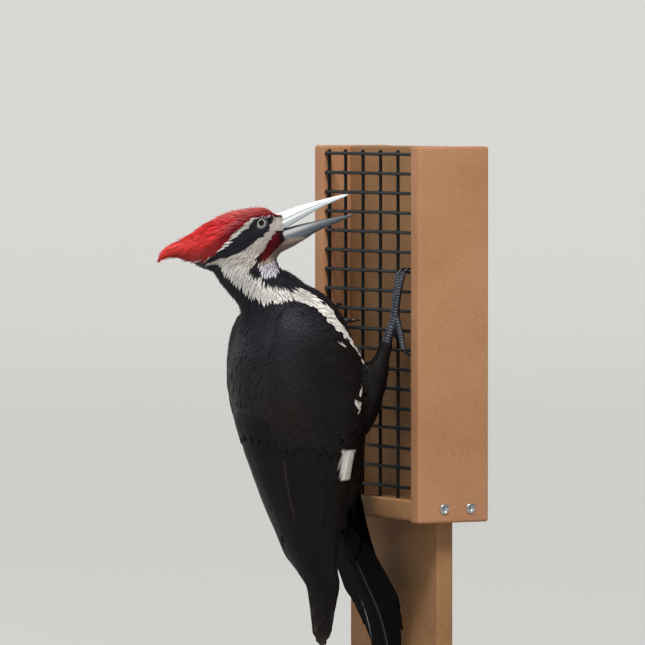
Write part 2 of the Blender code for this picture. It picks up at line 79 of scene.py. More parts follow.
# Each station of a bill half: place ahead of the head's middle, height of the ridge and of the cutting
# edge, half width.
UPPER_BILL = ((9.0, 3.6, -8.4, 7.6), (20.0, 4.2, -5.7, 7.3), (32.0, 5.5, -2.3, 5.9), (44.0, 6.1, 0.9, 4.5),
              (56.0, 6.4, 3.3, 3.0), (64.0, 6.4, 4.6, 1.9), (67.6, 6.1, 5.2, 1.2))
LOWER_BILL = ((9.0, -20.6, -8.0, 7.2), (20.0, -20.2, -7.5, 6.8), (32.0, -16.8, -7.0, 5.3),
              (42.0, -13.4, -6.9, 4.2), (56.0, -10.9, -7.1, 2.7), (65.0, -9.3, -7.6, 1.6),
              (68.6, -8.6, -7.8, 1.0))

# Each leg: ankle, joint of the toes, and for each toe its reach outwards, height and radius.
FEET = {
    "left": ((-11.9, 44.6, 287.6), (-6.6, 47.0, 304.0),
             {"inner_front": (24, 306, 1.9), "outer_front": (46, 314, 2.1), "outer_hind": (54.5, 285.5, 2.0),
              "hallux": (35, 288.8, 1.6)}),
    "right": ((-12.0, 39.5, 291.8), (-6.6, 42.5, 311.0),
              {"inner_front": (43.6, 338.3, 1.9), "outer_front": (50.2, 338.6, 2.1),
               "outer_hind": (50.4, 289.8, 2.0), "hallux": (38.2, 299.6, 1.6)}),
}


def unit(vectors: Array) -> Array:
    """Scales vectors to length one."""
    return vectors / np.maximum(np.linalg.norm(vectors, axis=-1, keepdims=True), 1e-9)


def srgb(red: float, green: float, blue: float) -> Array:
    """Turns a colour from 0-255 display values into linear light."""
    value = np.array((red, green, blue)) / 255.0
    return np.where(value <= 0.04045, value / 12.92, ((value + 0.055) / 1.055) ** 2.4)


def hue(red: float, green: float, blue: float) -> Array:
    """A dataclass field that starts as a display colour."""
    return field(default_factory=lambda: srgb(red, green, blue))


def ease(value: Array, low: float, high: float) -> Array:
    """A smooth step from 0 at low to 1 at high."""
    share = np.clip((value - low) / (high - low), 0.0, 1.0)
    return share * share * (3.0 - 2.0 * share)


def mix(first: Array, second: Array, share: Array) -> Array:
    """Blends two sets of colours or vectors, row by row."""
    share = np.asarray(share)[..., None]
    return first * (1.0 - share) + second * share


def told(value: Array, rows: Rows) -> Array:
    """Reads values off a line that is told by its points."""
    return np.interp(value, *np.array(rows, float).T)


def circle(count: int) -> Array:
    """Angles spread evenly round a circle."""
    return np.linspace(0.0, 2 * np.pi, count, endpoint=False)


def head_axes() -> Array:
    """The head frame's axes as rows, in the bird's frame."""
    cos, sin = math.cos(HEAD_PITCH), math.sin(HEAD_PITCH)
    pitch = np.array(((cos, 0, sin), (0, 1, 0), (-sin, 0, cos)))
    cos, sin = math.cos(HEAD_YAW), math.sin(HEAD_YAW)
    yaw = np.array(((cos, -sin, 0), (sin, cos, 0), (0, 0, 1)))
    return (yaw @ pitch).T


HEAD_AXES = head_axes()


def to_head(points: Array) -> Array:
    """Row frame to head frame."""
    return (points - BIRD_AT - HEAD_AT) @ HEAD_AXES.T


def from_head(points: Array) -> Array:
    """Head frame to row frame."""
    return np.asarray(points, float) @ HEAD_AXES + HEAD_AT + BIRD_AT


def spline(rows: Rows, count: int) -> Array:
    """Points evenly shared out along a Catmull-Rom curve through the rows.

    Args:
        rows: the points that the curve passes through.
        count: how many points to return, both ends among them.
    Returns:
        An array of count rows.
    """
    rows = np.asarray(rows, float)
    padded = np.vstack([2 * rows[0] - rows[1], rows, 2 * rows[-1] - rows[-2]])
    t = np.linspace(0.0, len(rows) - 1.0, count)
    index = np.minimum(t.astype(int), len(rows) - 2)
    share = (t - index)[:, None]
    a, b, c, d = (padded[index + k] for k in range(4))
    return 0.5 * (2 * b + (c - a) * share + (2 * a - 5 * b + 4 * c - d) * share**2
                  + (3 * b - a - 3 * c + d) * share**3)


def linked(name: str, data: bpy.types.ID) -> Piece:
    """Puts a mesh, a light or a camera into the scene."""
    obj = bpy.data.objects.new(name, data)
    bpy.context.scene.collection.objects.link(obj)
    return obj


def run(path: Array) -> Array:
    """The distance travelled at each point of a path."""
    return np.concatenate([[0.0], np.cumsum(np.linalg.norm(np.diff(path, axis=0), axis=1))])


def make_mesh(name: str, points: Array, faces: Sequence[Array], colours: Array | None = None,
              maps: dict[str, Array] | None = None, normals: Array | None = None) -> Piece:
    """Builds one mesh object from arrays.

    Args:
        name: the piece's name.
        points: corners in millimetres, in the row frame.
        faces: arrays of corner indices, each array with one number of sides.
        colours: linear colour of each corner, or None.
        maps: UV maps by name, one row for each corner of the mesh.
        normals: shading normals of the corners, or None.
    Returns:
        The new object, smooth shaded, linked to the scene.
    """
    mesh = bpy.data.meshes.new(name)
    corners = np.concatenate([np.asarray(part, np.int32).ravel() for part in faces])
    sizes = np.concatenate([np.full(len(part), np.asarray(part).shape[1], np.int32) for part in faces])
    starts = np.concatenate([[0], np.cumsum(sizes)[:-1]]).astype(np.int32)
    mesh.vertices.add(len(points))
    mesh.vertices.foreach_set("co", (np.asarray(points) * MM).astype(np.float32).ravel())
    mesh.loops.add(len(corners))
    mesh.loops.foreach_set("vertex_index", corners)
    mesh.polygons.add(len(sizes))
    mesh.polygons.foreach_set("loop_start", starts)
    mesh.polygons.foreach_set("use_smooth", np.ones(len(sizes), bool))
    mesh.update(calc_edges=True)
    if colours is not None:
        layer = mesh.color_attributes.new("tint", "FLOAT_COLOR", "POINT")
        rgba = np.ones((len(points), 4), np.float32)
        rgba[:, :3] = colours
        layer.data.foreach_set("color", rgba.ravel())
    for title, values in (maps or {}).items():
        layer = mesh.uv_layers.new(name=title)
        layer.uv.foreach_set("vector", values[corners].astype(np.float32).ravel())
    if normals is not None:
        mesh.normals_split_custom_set_from_vertices(unit(normals).tolist())
    return linked(name, mesh)


def halves(quads: Array) -> Array:
    """Cuts four-sided faces into triangles."""
    return np.vstack([quads[:, :3], quads[:, [0, 2, 3]]])


def read_mesh(obj: Piece) -> tuple[Array, Array]:
    """An object's merged corners in millimetres and its triangles, modifiers applied."""
    mesh = obj.evaluated_get(bpy.context.evaluated_depsgraph_get()).to_mesh()
    mesh.calc_loop_triangles()
    points = np.empty(len(mesh.vertices) * 3, np.float32)
    mesh.vertices.foreach_get("co", points)
    triangles = np.empty(len(mesh.loop_triangles) * 3, np.int32)
    mesh.loop_triangles.foreach_get("vertices", triangles)
    points = points.reshape(-1, 3).astype(float) / MM
    _, first, inverse = np.unique(np.round(points, 3), axis=0, return_index=True, return_inverse=True)
    triangles = inverse.ravel()[triangles].reshape(-1, 3)
    whole = (triangles != np.roll(triangles, -1, axis=1)).all(1)
    return points[first], triangles[whole]


def vertex_normals(points: Array, triangles: Array) -> Array:
    """Area-weighted normals of a triangle mesh's corners."""
    a, b, c = (points[triangles[:, k]] for k in range(3))
    face = np.cross(b - a, c - a)
    total = np.zeros_like(points)
    for k in range(3):
        for axis in range(3):
            total[:, axis] += np.bincount(triangles[:, k], face[:, axis], len(points))
    return unit(total)


class Surface:
    """A triangle mesh that can be searched, sampled and smoothed.

    TRIALS is how many trial roots are drawn for the room that one root takes.
    """

    TRIALS = 5.0

    def __init__(self, points: Array, triangles: Array) -> None:
        """Keeps the mesh and builds its search tree."""
        self.points, self.triangles = points, triangles
        self.normals = vertex_normals(points, triangles)
        self.tree = BVHTree.FromPolygons(points.tolist(), triangles.tolist())
        edges = np.vstack([triangles[:, [0, 1]], triangles[:, [1, 2]], triangles[:, [2, 0]]])
        self.edges = np.unique(np.sort(edges, axis=1), axis=0)
        self.degree = np.maximum(np.bincount(self.edges.ravel(), minlength=len(points)), 1)

    @classmethod
    def joined(cls, meshes: Sequence[tuple[Array, Array]]) -> tuple["Surface", Array]:
        """One surface of several meshes, and which mesh each triangle came from."""
        starts = np.cumsum([0] + [len(points) for points, _ in meshes])
        triangles = np.vstack([faces + start for (_, faces), start in zip(meshes, starts)])
        owner = np.concatenate([np.full(len(faces), index) for index, (_, faces) in enumerate(meshes)])
        return cls(np.vstack([points for points, _ in meshes]), triangles), owner

    def remeshed(self, swell: float, voxel: float, passes: int) -> "Surface":
        """Fuses the parts into one even closed mesh.

        Args:
            swell: how far the parts grow first, so that thin gaps close.
            voxel: the new mesh's edge length.
            passes: how often it is smoothed.
        Returns:
            The fused surface.
        """
        blank = make_mesh("blank", self.points + self.normals * swell, [self.triangles])
        remesh = blank.modifiers.new("Remesh", "REMESH")
        remesh.mode, remesh.voxel_size = "VOXEL", voxel * MM
        points, triangles = read_mesh(blank)
        bpy.data.objects.remove(blank)
        return Surface(Surface(points, triangles).blur(points, passes), triangles)

    def blur(self, values: Array, passes: int, strength: float = 0.6) -> Array:
        """Averages corner values with their neighbours' that many times.

        Args:
            values: a row for each corner.
            passes: how many times.
            strength: how far each pass goes to the mean.
        Returns:
            The smoothed values.
        """
        values = np.array(values, float)
        flat = values.reshape(len(values), -1)
        i, j = self.edges.T
        for _ in range(passes):
            mean = np.stack([
                (np.bincount(i, column[j], len(flat)) + np.bincount(j, column[i], len(flat))) / self.degree
                for column in flat.T
            ], axis=1)
            flat = flat + (mean - flat) * strength
        return flat.reshape(values.shape)

    def nearest(self, points: Array) -> tuple[Array, Array]:
        """The closest places on the surface and the triangles they are in."""
        hits = [self.tree.find_nearest(point) for point in points.tolist()]
        return np.array([hit[0][:] for hit in hits]).reshape(-1, 3), np.array([hit[2] for hit in hits], int)

    def at(self, values: Array, faces: Array, places: Array) -> Array:
        """Corner values at places inside triangles, weighted by how near each corner is.

        Args:
            values: a row for each corner.
            faces: the triangle of each place.
            places: places on the surface.
        Returns:
            A row for each place.
        """
        corners = self.triangles[faces]
        gap = np.linalg.norm(self.points[corners] - places[:, None], axis=2)
        weight = 1.0 / (gap + 0.05) ** 2
        weight /= weight.sum(1, keepdims=True)
        picked = np.asarray(values)[corners]
        return (picked * weight.reshape(weight.shape + (1,) * (picked.ndim - 2))).sum(1)

    def scatter(self, spacing: Array, rng: Random, mask: Array) -> tuple[Array, Array]:
        """Spreads roots over the surface with no two closer than the spacing there.

        Args:
            spacing: least distance between roots at each corner.
            rng: the random source.
            mask: which corners may carry roots.
        Returns:
            The places and their triangles.
        """
        a, b, c = (self.points[self.triangles[:, k]] for k in range(3))
        area = np.linalg.norm(np.cross(b - a, c - a), axis=1) / 2
        gap = spacing[self.triangles].mean(1)
        weight = area / gap**2 * (mask[self.triangles].mean(1) > 0.5)
        picks = rng.choice(len(area), int(weight.sum() * self.TRIALS), p=weight / weight.sum())
        u, v = rng.random((2, len(picks)))
        over = u + v > 1
        u[over], v[over] = 1 - u[over], 1 - v[over]
        places = a[picks] + (b - a)[picks] * u[:, None] + (c - a)[picks] * v[:, None]
        tree = kdtree.KDTree(len(places))
        for index, place in enumerate(places.tolist()):
            tree.insert(place, index)
        tree.balance()
        free = np.ones(len(places), bool)
        kept = []
        reach = gap[picks]
        for index, place in enumerate(places.tolist()):
            if free[index]:
                kept.append(index)
                for _, other, _ in tree.find_range(place, float(reach[index])):
                    free[other] = False
        return places[kept], picks[kept]


def clip(points: Array, triangles: Array, level: float) -> tuple[Array, Array]:
    """Keeps what lies above a height and closes the cut.

    Args:
        points: corners of a closed mesh.
        triangles: its faces.
        level: the height of the cut.
    Returns:
        Corners and triangles of the part above.
    """
    work = bmesh.new()
    corners = [work.verts.new(point) for point in points.tolist()]
    for face in triangles.tolist():
        work.faces.new([corners[k] for k in face])
    cut = bmesh.ops.bisect_plane(work, geom=work.verts[:] + work.edges[:] + work.faces[:],
                                 plane_co=(0, 0, level), plane_no=(0, 0, 1), clear_inner=True)
    edges = [item for item in cut["geom_cut"] if isinstance(item, bmesh.types.BMEdge)]
    bmesh.ops.edgenet_fill(work, edges=edges)
    bmesh.ops.recalc_face_normals(work, faces=work.faces)
    bmesh.ops.triangulate(work, faces=work.faces)
    work.verts.index_update()
    corners = np.array([corner.co for corner in work.verts])
    faces = np.array([[corner.index for corner in face.verts] for face in work.faces])
    work.free()
    return corners, faces


class Spine:
    """The line through neck and trunk, and places told along it and round it."""

    def __init__(self) -> None:
        """Lays the curve out finely."""
        self.line = spline(SPINE, 120)
        self.slope = unit(np.gradient(self.line, axis=0))
        self.travelled = run(self.line)

    def place(self, points: Array) -> tuple[Array, Array]:
        """Distance along the spine and angle from the middle of the back, for points in the row frame.

        Args:
            points: places in the row frame.
        Returns:
            Millimetres from the nape, and degrees: 0 on the back, 90 on a side, 180 on the belly.
        """
        local = points - BIRD_AT
        flat = local[:, [0, 2]]
        gap = ((flat[:, None] - self.line[None]) ** 2).sum(2)
        index = gap.argmin(1)
        away = flat - self.line[index]
        along = self.travelled[index] + (away * self.slope[index]).sum(1)
        rise = away[:, 0] * self.slope[index, 1] - away[:, 1] * self.slope[index, 0]
        return along, np.degrees(np.arctan2(np.abs(local[:, 1]), rise))

    def guides(self) -> tuple[Array, Array]:
        """Places and directions of the lie of the feathers on the neck and trunk, in the row frame."""
        keep = np.arange(10, 120, 6)
        flat, slope = self.line[keep], self.slope[keep]
        zeros = np.zeros(len(keep))
        places = np.stack([flat[:, 0], zeros, flat[:, 1]], axis=1) + BIRD_AT
        return places, np.stack([slope[:, 0], zeros, slope[:, 1]], axis=1)


# ---- finishes ----


def new_group(name: str, inputs: Sequence[tuple[str, str, float | tuple]],
              outputs: Sequence[tuple[str, str]]) -> bpy.types.NodeTree:
    """A shader node group with named sockets.

    Args:
        name: the group's name.
        inputs: name, socket type and starting value of each input.
        outputs: name and socket type of each output.
    Returns:
        The empty group.
    """
    group = bpy.data.node_groups.new(name, "ShaderNodeTree")
    for title, kind, value in inputs:
        socket = group.interface.new_socket(name=title, in_out="INPUT", socket_type=kind)
        if kind != "NodeSocketVector":
            socket.default_value = value
    for title, kind in outputs:
        group.interface.new_socket(name=title, in_out="OUTPUT", socket_type=kind)
    return group


class Net:
    """A short way to add and join nodes of one tree."""

    def __init__(self, tree: bpy.types.NodeTree) -> None:
        """Keeps the tree."""
        self.tree = tree

    def add(self, kind: str, inputs: dict[str | int, object] | None = None,
            **settings: object) -> bpy.types.Node:
        """Adds a node, sets its properties, and sets or links its inputs.

        Args:
            kind: the node's type name.
            inputs: values or output sockets by input name or number.
            settings: properties of the node.
        Returns:
            The node.
        """
        node = self.tree.nodes.new(kind)
        for title, value in settings.items():
            setattr(node, title, value)
        for title, value in (inputs or {}).items():
            if isinstance(value, Socket):
                self.tree.links.new(value, node.inputs[title])
            else:
                node.inputs[title].default_value = value
        return node

    def take(self, kind: str, inputs: dict[str | int, object] | None = None, output: str | int = 0,
             **settings: object) -> Socket:
        """Adds a node and returns one of its outputs."""
        return self.add(kind, inputs, **settings).outputs[output]

    def maths(self, operation: str, *values: object) -> Socket:
        """A Math node's result."""
        return self.take("ShaderNodeMath", dict(enumerate(values)), operation=operation)

    def ramp(self, factor: Socket, stops: Sequence[tuple[float, Sequence[float]]]) -> Socket:
        """A colour ramp's result."""
        node = self.add("ShaderNodeValToRGB", {"Fac": factor})
        elements = node.color_ramp.elements
        while len(elements) < len(stops):
            elements.new(0.5)
        for element, (place, colour) in zip(elements, stops):
            element.position = place
            element.color = (*colour, 1.0)
        return node.outputs["Color"]

    def mix(self, factor: object, first: object, second: object, blend: str = "MIX") -> Socket:
        """A colour mix."""
        node = self.tree.nodes.new("ShaderNodeMix")
        node.data_type, node.blend_type = "RGBA", blend
        for socket, value in ((node.inputs[0], factor), (node.inputs[6], first), (node.inputs[7], second)):
            if isinstance(value, Socket):
                self.tree.links.new(value, socket)
            else:
                socket.default_value = value if isinstance(value, float) else (*value, 1.0)
        return node.outputs[2]

    def shaded(self, shade: Socket) -> Socket:
        """The corner tint times a shade."""
        tint = self.take("ShaderNodeAttribute", output="Color", attribute_name="tint")
        grey = self.take("ShaderNodeCombineColor", {0: shade, 1: shade, 2: shade})
        return self.mix(1.0, tint, grey, "MULTIPLY")


def barb_group() -> bpy.types.NodeTree:
    """Fine barbs that leave a vane's shaft at a slant: a height and a mask of the vane's wear."""
    group = new_group("FeatherBarbs", [("Vane", "NodeSocketVector", 0), ("Barbs", "NodeSocketFloat", 30.0),
                                       ("Slant", "NodeSocketFloat", 0.6)],
                      [("Height", "NodeSocketFloat"), ("Wear", "NodeSocketFloat")])
    net = Net(group)
    source = net.add("NodeGroupInput").outputs
    split = net.add("ShaderNodeSeparateXYZ", {0: source["Vane"]}).outputs
    out = net.maths("ABSOLUTE", net.maths("SUBTRACT", split[0], 0.5))
    phase = net.maths("SUBTRACT", split[1], net.maths("MULTIPLY", out, source["Slant"]))
    wobble = net.take("ShaderNodeTexNoise", {"Vector": source["Vane"], "Scale": 5.0, "Detail": 2.0}, "Fac")
    phase = net.maths("ADD", phase, net.maths("MULTIPLY", wobble, 0.05))
    wave = net.maths("SINE", net.maths("MULTIPLY", net.maths("MULTIPLY", phase, source["Barbs"]), FULL_TURN))
    height = net.maths("MULTIPLY_ADD", wave, 0.5, 0.5)
    wear = net.maths("MULTIPLY", net.maths("MULTIPLY", out, 2.0), wobble)
    sink = net.add("NodeGroupOutput")
    group.links.new(height, sink.inputs["Height"])
    group.links.new(wear, sink.inputs["Wear"])
    return group


def grime_group() -> bpy.types.NodeTree:
    """Soft uneven darkening and fine grain in the piece's own place: a broad mask and a fine one."""
    group = new_group("Unevenness", [("Broad", "NodeSocketFloat", 40.0), ("Fine", "NodeSocketFloat", 900.0)],
                      [("Patches", "NodeSocketFloat"), ("Grain", "NodeSocketFloat")])
    net = Net(group)
    source = net.add("NodeGroupInput").outputs
    place = net.add("ShaderNodeTexCoord").outputs["Object"]
    broad = net.add("ShaderNodeTexNoise", {"Vector": place, "Scale": source["Broad"], "Detail": 4.0})
    fine = net.add("ShaderNodeTexNoise", {"Vector": place, "Scale": source["Fine"], "Detail": 2.0})
    sink = net.add("NodeGroupOutput")
    group.links.new(broad.outputs["Fac"], sink.inputs["Patches"])
    group.links.new(fine.outputs["Fac"], sink.inputs["Grain"])
    return group


BARBS, UNEVEN = barb_group(), grime_group()


def shape_tree(name: str, inputs: Sequence[tuple[str, str, object]]) -> tuple[Net, dict[str, Socket]]:
    """Starts a Geometry Nodes tree with named inputs.

    Args:
        name: the tree's name.
        inputs: name, socket type and starting value of each input after the geometry.
    Returns:
        The tree's node helper and the input sockets by name.
    """
    tree = bpy.data.node_groups.new(name, "GeometryNodeTree")
    tree.interface.new_socket(name="Geometry", in_out="INPUT", socket_type="NodeSocketGeometry")
    tree.interface.new_socket(name="Geometry", in_out="OUTPUT", socket_type="NodeSocketGeometry")
    for title, kind, value in inputs:
        socket = tree.interface.new_socket(name=title, in_out="INPUT", socket_type=kind)
        if kind != "NodeSocketMaterial":
            socket.default_value = value
    net = Net(tree)
    return net, {item.name: item for item in net.add("NodeGroupInput").outputs}


def close_tree(net: Net, shape: Socket, material: Socket) -> bpy.types.NodeTree:
    """Ends a tree: realizes the copies, gives them the material and sends them out."""
    real = net.take("GeometryNodeRealizeInstances", {0: shape})
    dressed = net.take("GeometryNodeSetMaterial", {"Geometry": real, "Material": material})
    smooth = net.take("GeometryNodeSetShadeSmooth", {0: dressed})
    net.add("NodeGroupOutput", {0: smooth})
    return net.tree


def run_tree(name: str, tree: bpy.types.NodeTree, values: dict[str, object], host: bpy.types.Mesh) -> Piece:
    """Runs a tree once and keeps the result as a plain mesh.

    Args:
        name: the piece's name.
        tree: the Geometry Nodes tree.
        values: its inputs by name.
        host: the mesh that goes in.
    Returns:
        The piece, with no modifier left.
    """
    start = linked(f"{name}_start", host)
    modifier = start.modifiers.new("Shape", "NODES")
    modifier.node_group = tree
    for item in tree.interface.items_tree:
        if item.in_out == "INPUT" and item.name in values:
            modifier[item.identifier] = values[item.name]
    depsgraph = bpy.context.evaluated_depsgraph_get()
    mesh = bpy.data.meshes.new_from_object(start.evaluated_get(depsgraph), depsgraph=depsgraph)
    start.modifiers.remove(modifier)
    bpy.data.objects.remove(start)
    mesh.name = name
    return linked(name, mesh)


@dataclass(frozen=True)
class Finish:
    """A material's plain facts; each kind of surface adds its own pattern."""

    name: str
    roughness: float = 0.5
    specular: float = 0.5
    metallic: float = 0.0
    sheen: float = 0.0
    coat: float = 0.0

    def material(self) -> bpy.types.Material:
        """The finish's material, which the first piece that asks for it builds."""
        return bpy.data.materials.get(self.name) or self.build()

    def start(self) -> tuple[bpy.types.Material, Net, bpy.types.Node]:
        """Makes the material with its Principled shader."""
        material = bpy.data.materials.new(self.name)
        material.use_nodes = True
        shader = material.node_tree.nodes["Principled BSDF"]
        for title, value in (
            ("Roughness", self.roughness), ("Specular IOR Level", self.specular), ("Metallic", self.metallic),
            ("Sheen Weight", self.sheen), ("Sheen Roughness", 0.4), ("Coat Weight", self.coat),
            ("Coat Roughness", 0.05),
        ):
            shader.inputs[title].default_value = value
        return material, Net(material.node_tree), shader

    def bump(self, net: Net, shader: bpy.types.Node, height: Socket, strength: float, depth: float) -> None:
        """Sends a height through a Bump node to the shader's normal."""
        inputs = {"Height": height, "Strength": strength, "Distance": depth}
        net.tree.links.new(net.take("ShaderNodeBump", inputs, "Normal"), shader.inputs["Normal"])


@dataclass(frozen=True)
class Plumage(Finish):
    """Feathers: the corner tint, barbs along each vane with painted shade between them, and a little
    unevenness.
    """

    barbs: float = 26.0
    slant: float = 0.7
    relief: float = 0.35
    barb_shade: float = 0.25

    def build(self) -> bpy.types.Material:
        """Makes the material."""
        material, net, shader = self.start()
        vane = net.take("ShaderNodeUVMap", output="UV", uv_map="Vane")
        lines = {"Vane": vane, "Barbs": self.barbs, "Slant": self.slant}
        height = net.take("ShaderNodeGroup", lines, "Height", node_tree=BARBS)
        uneven = net.add("ShaderNodeGroup", {"Broad": 90.0, "Fine": 1500.0}, node_tree=UNEVEN).outputs
        # painted shade: the base colour darkens in the grooves between the barbs and lightens on their ridges
        shade = net.maths("MULTIPLY_ADD", height, self.barb_shade, 1.0 - self.barb_shade * 0.5)
        shade = net.maths("MULTIPLY", shade, net.maths("MULTIPLY_ADD", uneven["Patches"], 0.5, 0.75))
        net.tree.links.new(net.shaded(shade), shader.inputs["Base Color"])
        rough = net.maths("MULTIPLY_ADD", uneven["Grain"], 0.2, self.roughness - 0.1)
        net.tree.links.new(rough, shader.inputs["Roughness"])
        self.bump(net, shader, height, self.relief, 0.0002)
        return material


@dataclass(frozen=True)
class Grained(Finish):
    """A colour with a second colour in patches and specks, and fine relief."""

    base: tuple[float, float, float] = (0.5, 0.5, 0.5)
    other: tuple[float, float, float] = (0.4, 0.4, 0.4)
    broad: float = 40.0
    fine: float = 900.0
    stretch: tuple[float, float, float] = (1.0, 1.0, 1.0)
    speckle: float = 0.0
    speck: tuple[float, float, float] = (0.3, 0.2, 0.15)
    relief: float = 0.2
    depth: float = 0.0002

    def build(self) -> bpy.types.Material:
        """Makes the material."""
        material, net, shader = self.start()
        place = net.take("ShaderNodeTexCoord", output="Object")
        place = net.take("ShaderNodeMapping", {"Vector": place, "Scale": self.stretch}, "Vector")
        noises = ({"Scale": self.broad, "Detail": 6.0, "Roughness": 0.6},
                  {"Scale": self.fine, "Detail": 4.0, "Roughness": 0.7})
        broad, fine = (net.take("ShaderNodeTexNoise", {"Vector": place, **noise}, "Fac") for noise in noises)
        blend = net.maths("MULTIPLY_ADD", fine, 0.5, net.maths("MULTIPLY", broad, 0.5))
        colour = net.ramp(blend, [(0.36, self.base), (0.62, self.other)])
        if self.speckle:
            cells = net.take("ShaderNodeTexVoronoi", {"Vector": place, "Scale": self.fine * 0.8}, "Distance")
            mask = net.maths("MULTIPLY", net.maths("LESS_THAN", cells, 0.22),
                             net.maths("GREATER_THAN", fine, 1.0 - self.speckle))
            colour = net.mix(mask, colour, self.speck)
        net.tree.links.new(colour, shader.inputs["Base Color"])
        rough = net.maths("MULTIPLY_ADD", fine, 0.3, self.roughness - 0.15)
        net.tree.links.new(rough, shader.inputs["Roughness"])
        self.bump(net, shader, blend, self.relief, self.depth)
        return material


@dataclass(frozen=True)
class Tinted(Finish):
    """Painted by corner tints, such as skin or an eye, with a grain that runs from its darkest shade."""

    grain: float = 1200.0
    darkest: float = 0.85
    range: float = 0.3
    relief: float = 0.05

    def build(self) -> bpy.types.Material:
        """Makes the material."""
        material, net, shader = self.start()
        grain = net.take("ShaderNodeGroup", {"Fine": self.grain}, "Grain", node_tree=UNEVEN)
        shade = net.maths("MULTIPLY_ADD", grain, self.range, self.darkest)
        net.tree.links.new(net.shaded(shade), shader.inputs["Base Color"])
        if self.relief:
            self.bump(net, shader, grain, self.relief, 0.0003)
        return material


CONTOUR = Plumage("contour_feathers", roughness=0.45, specular=0.1, relief=0.15, barb_shade=0.2)
DOWNY = Plumage("face_feathers", roughness=0.7, specular=0.2, sheen=0.03, barbs=3.0, slant=0.3, relief=0.1)
HAIRY = Plumage("crest_feathers", roughness=0.45, specular=0.35, barbs=8.0, slant=0.2, relief=0.15)
FLIGHT = Plumage("flight_feathers", roughness=0.5, specular=0.07, barbs=110.0, slant=0.25, relief=0.12,
                 barb_shade=0.12)
STIFF = Plumage("tail_feathers", roughness=0.6, specular=0.02, barbs=110.0, slant=0.25, relief=0.12, barb_shade=0.12)
SKIN = Tinted("bird_skin", roughness=0.75, specular=0.3, grain=1800.0, darkest=0.6, range=0.6, relief=0.5)
BILL = Tinted("bill_horn_finish", roughness=0.4, specular=0.5, grain=700.0, relief=0.25)
EYE = Tinted("eye_finish", roughness=0.12, specular=0.18, coat=0.25, relief=0.0)
LID = Tinted("lid_skin", roughness=0.55, specular=0.4, grain=2600.0, relief=0.5)
LEG = Tinted("leg_skin", roughness=0.55, specular=0.4, grain=2200.0, relief=0.35)
SCUTE = Grained("leg_scutes", roughness=0.42, specular=0.4, base=tuple(srgb(74, 82, 92)),
                other=tuple(srgb(34, 38, 44)), broad=260.0, fine=2500.0)
CLAW = Grained("claw_horn_finish", roughness=0.25, base=(0.02, 0.02, 0.023), other=(0.008, 0.008, 0.009),
               broad=250.0, fine=1500.0)
BOARD = Grained("composite_side", roughness=0.7, specular=0.25, base=tuple(srgb(188, 139, 104)),
                other=tuple(srgb(168, 118, 82)), broad=14.0, fine=900.0, speckle=0.46,
                speck=tuple(srgb(222, 178, 146)), relief=0.35)
DARK_BOARD = Grained("composite_edge", roughness=0.75, specular=0.25, base=tuple(srgb(170, 126, 86)),
                     other=tuple(srgb(140, 102, 68)), broad=20.0, fine=700.0, speckle=0.42,
                     speck=tuple(srgb(84, 56, 40)), relief=0.4)
WIRE = Grained("vinyl_coat", roughness=0.5, specular=0.22, base=tuple(srgb(24, 32, 34)),
               other=tuple(srgb(12, 17, 19)), broad=120.0, fine=2000.0, relief=0.25)
STEEL = Grained("brushed_steel", roughness=0.32, metallic=1.0, base=(0.55, 0.55, 0.56),
                other=(0.42, 0.42, 0.43), broad=30.0, fine=1200.0, stretch=(1.0, 1.0, 0.02), relief=0.1)
WOOD = Grained("stand_walnut", roughness=0.4, specular=0.5, coat=0.3, base=tuple(srgb(112, 72, 45)),
               other=tuple(srgb(72, 43, 27)), broad=9.0, fine=160.0, stretch=(0.5, 6.0, 6.0), relief=0.15)


def coat(obj: Piece, finish: Finish) -> None:
    """Gives a piece its one material."""
    obj.data.materials.clear()
    obj.data.materials.append(finish.material())


def dress(obj: Piece, finish: Finish, slot: str, *nodes: str) -> Piece:
    """Gives a piece its finish and its body, and hides the solids that it stands for.

    Args:
        obj: the finished piece.
        finish: the finish that gives its material.
        slot: the record's material slot; not used.
        nodes: CAD nodes that the piece replaces.
    Returns:
        The piece.
    """
    coat(obj, finish)
    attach(obj, "root")
    if nodes:
        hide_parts(*nodes)
    logging.info("%s: %d faces", obj.name, len(obj.data.polygons))
    return obj


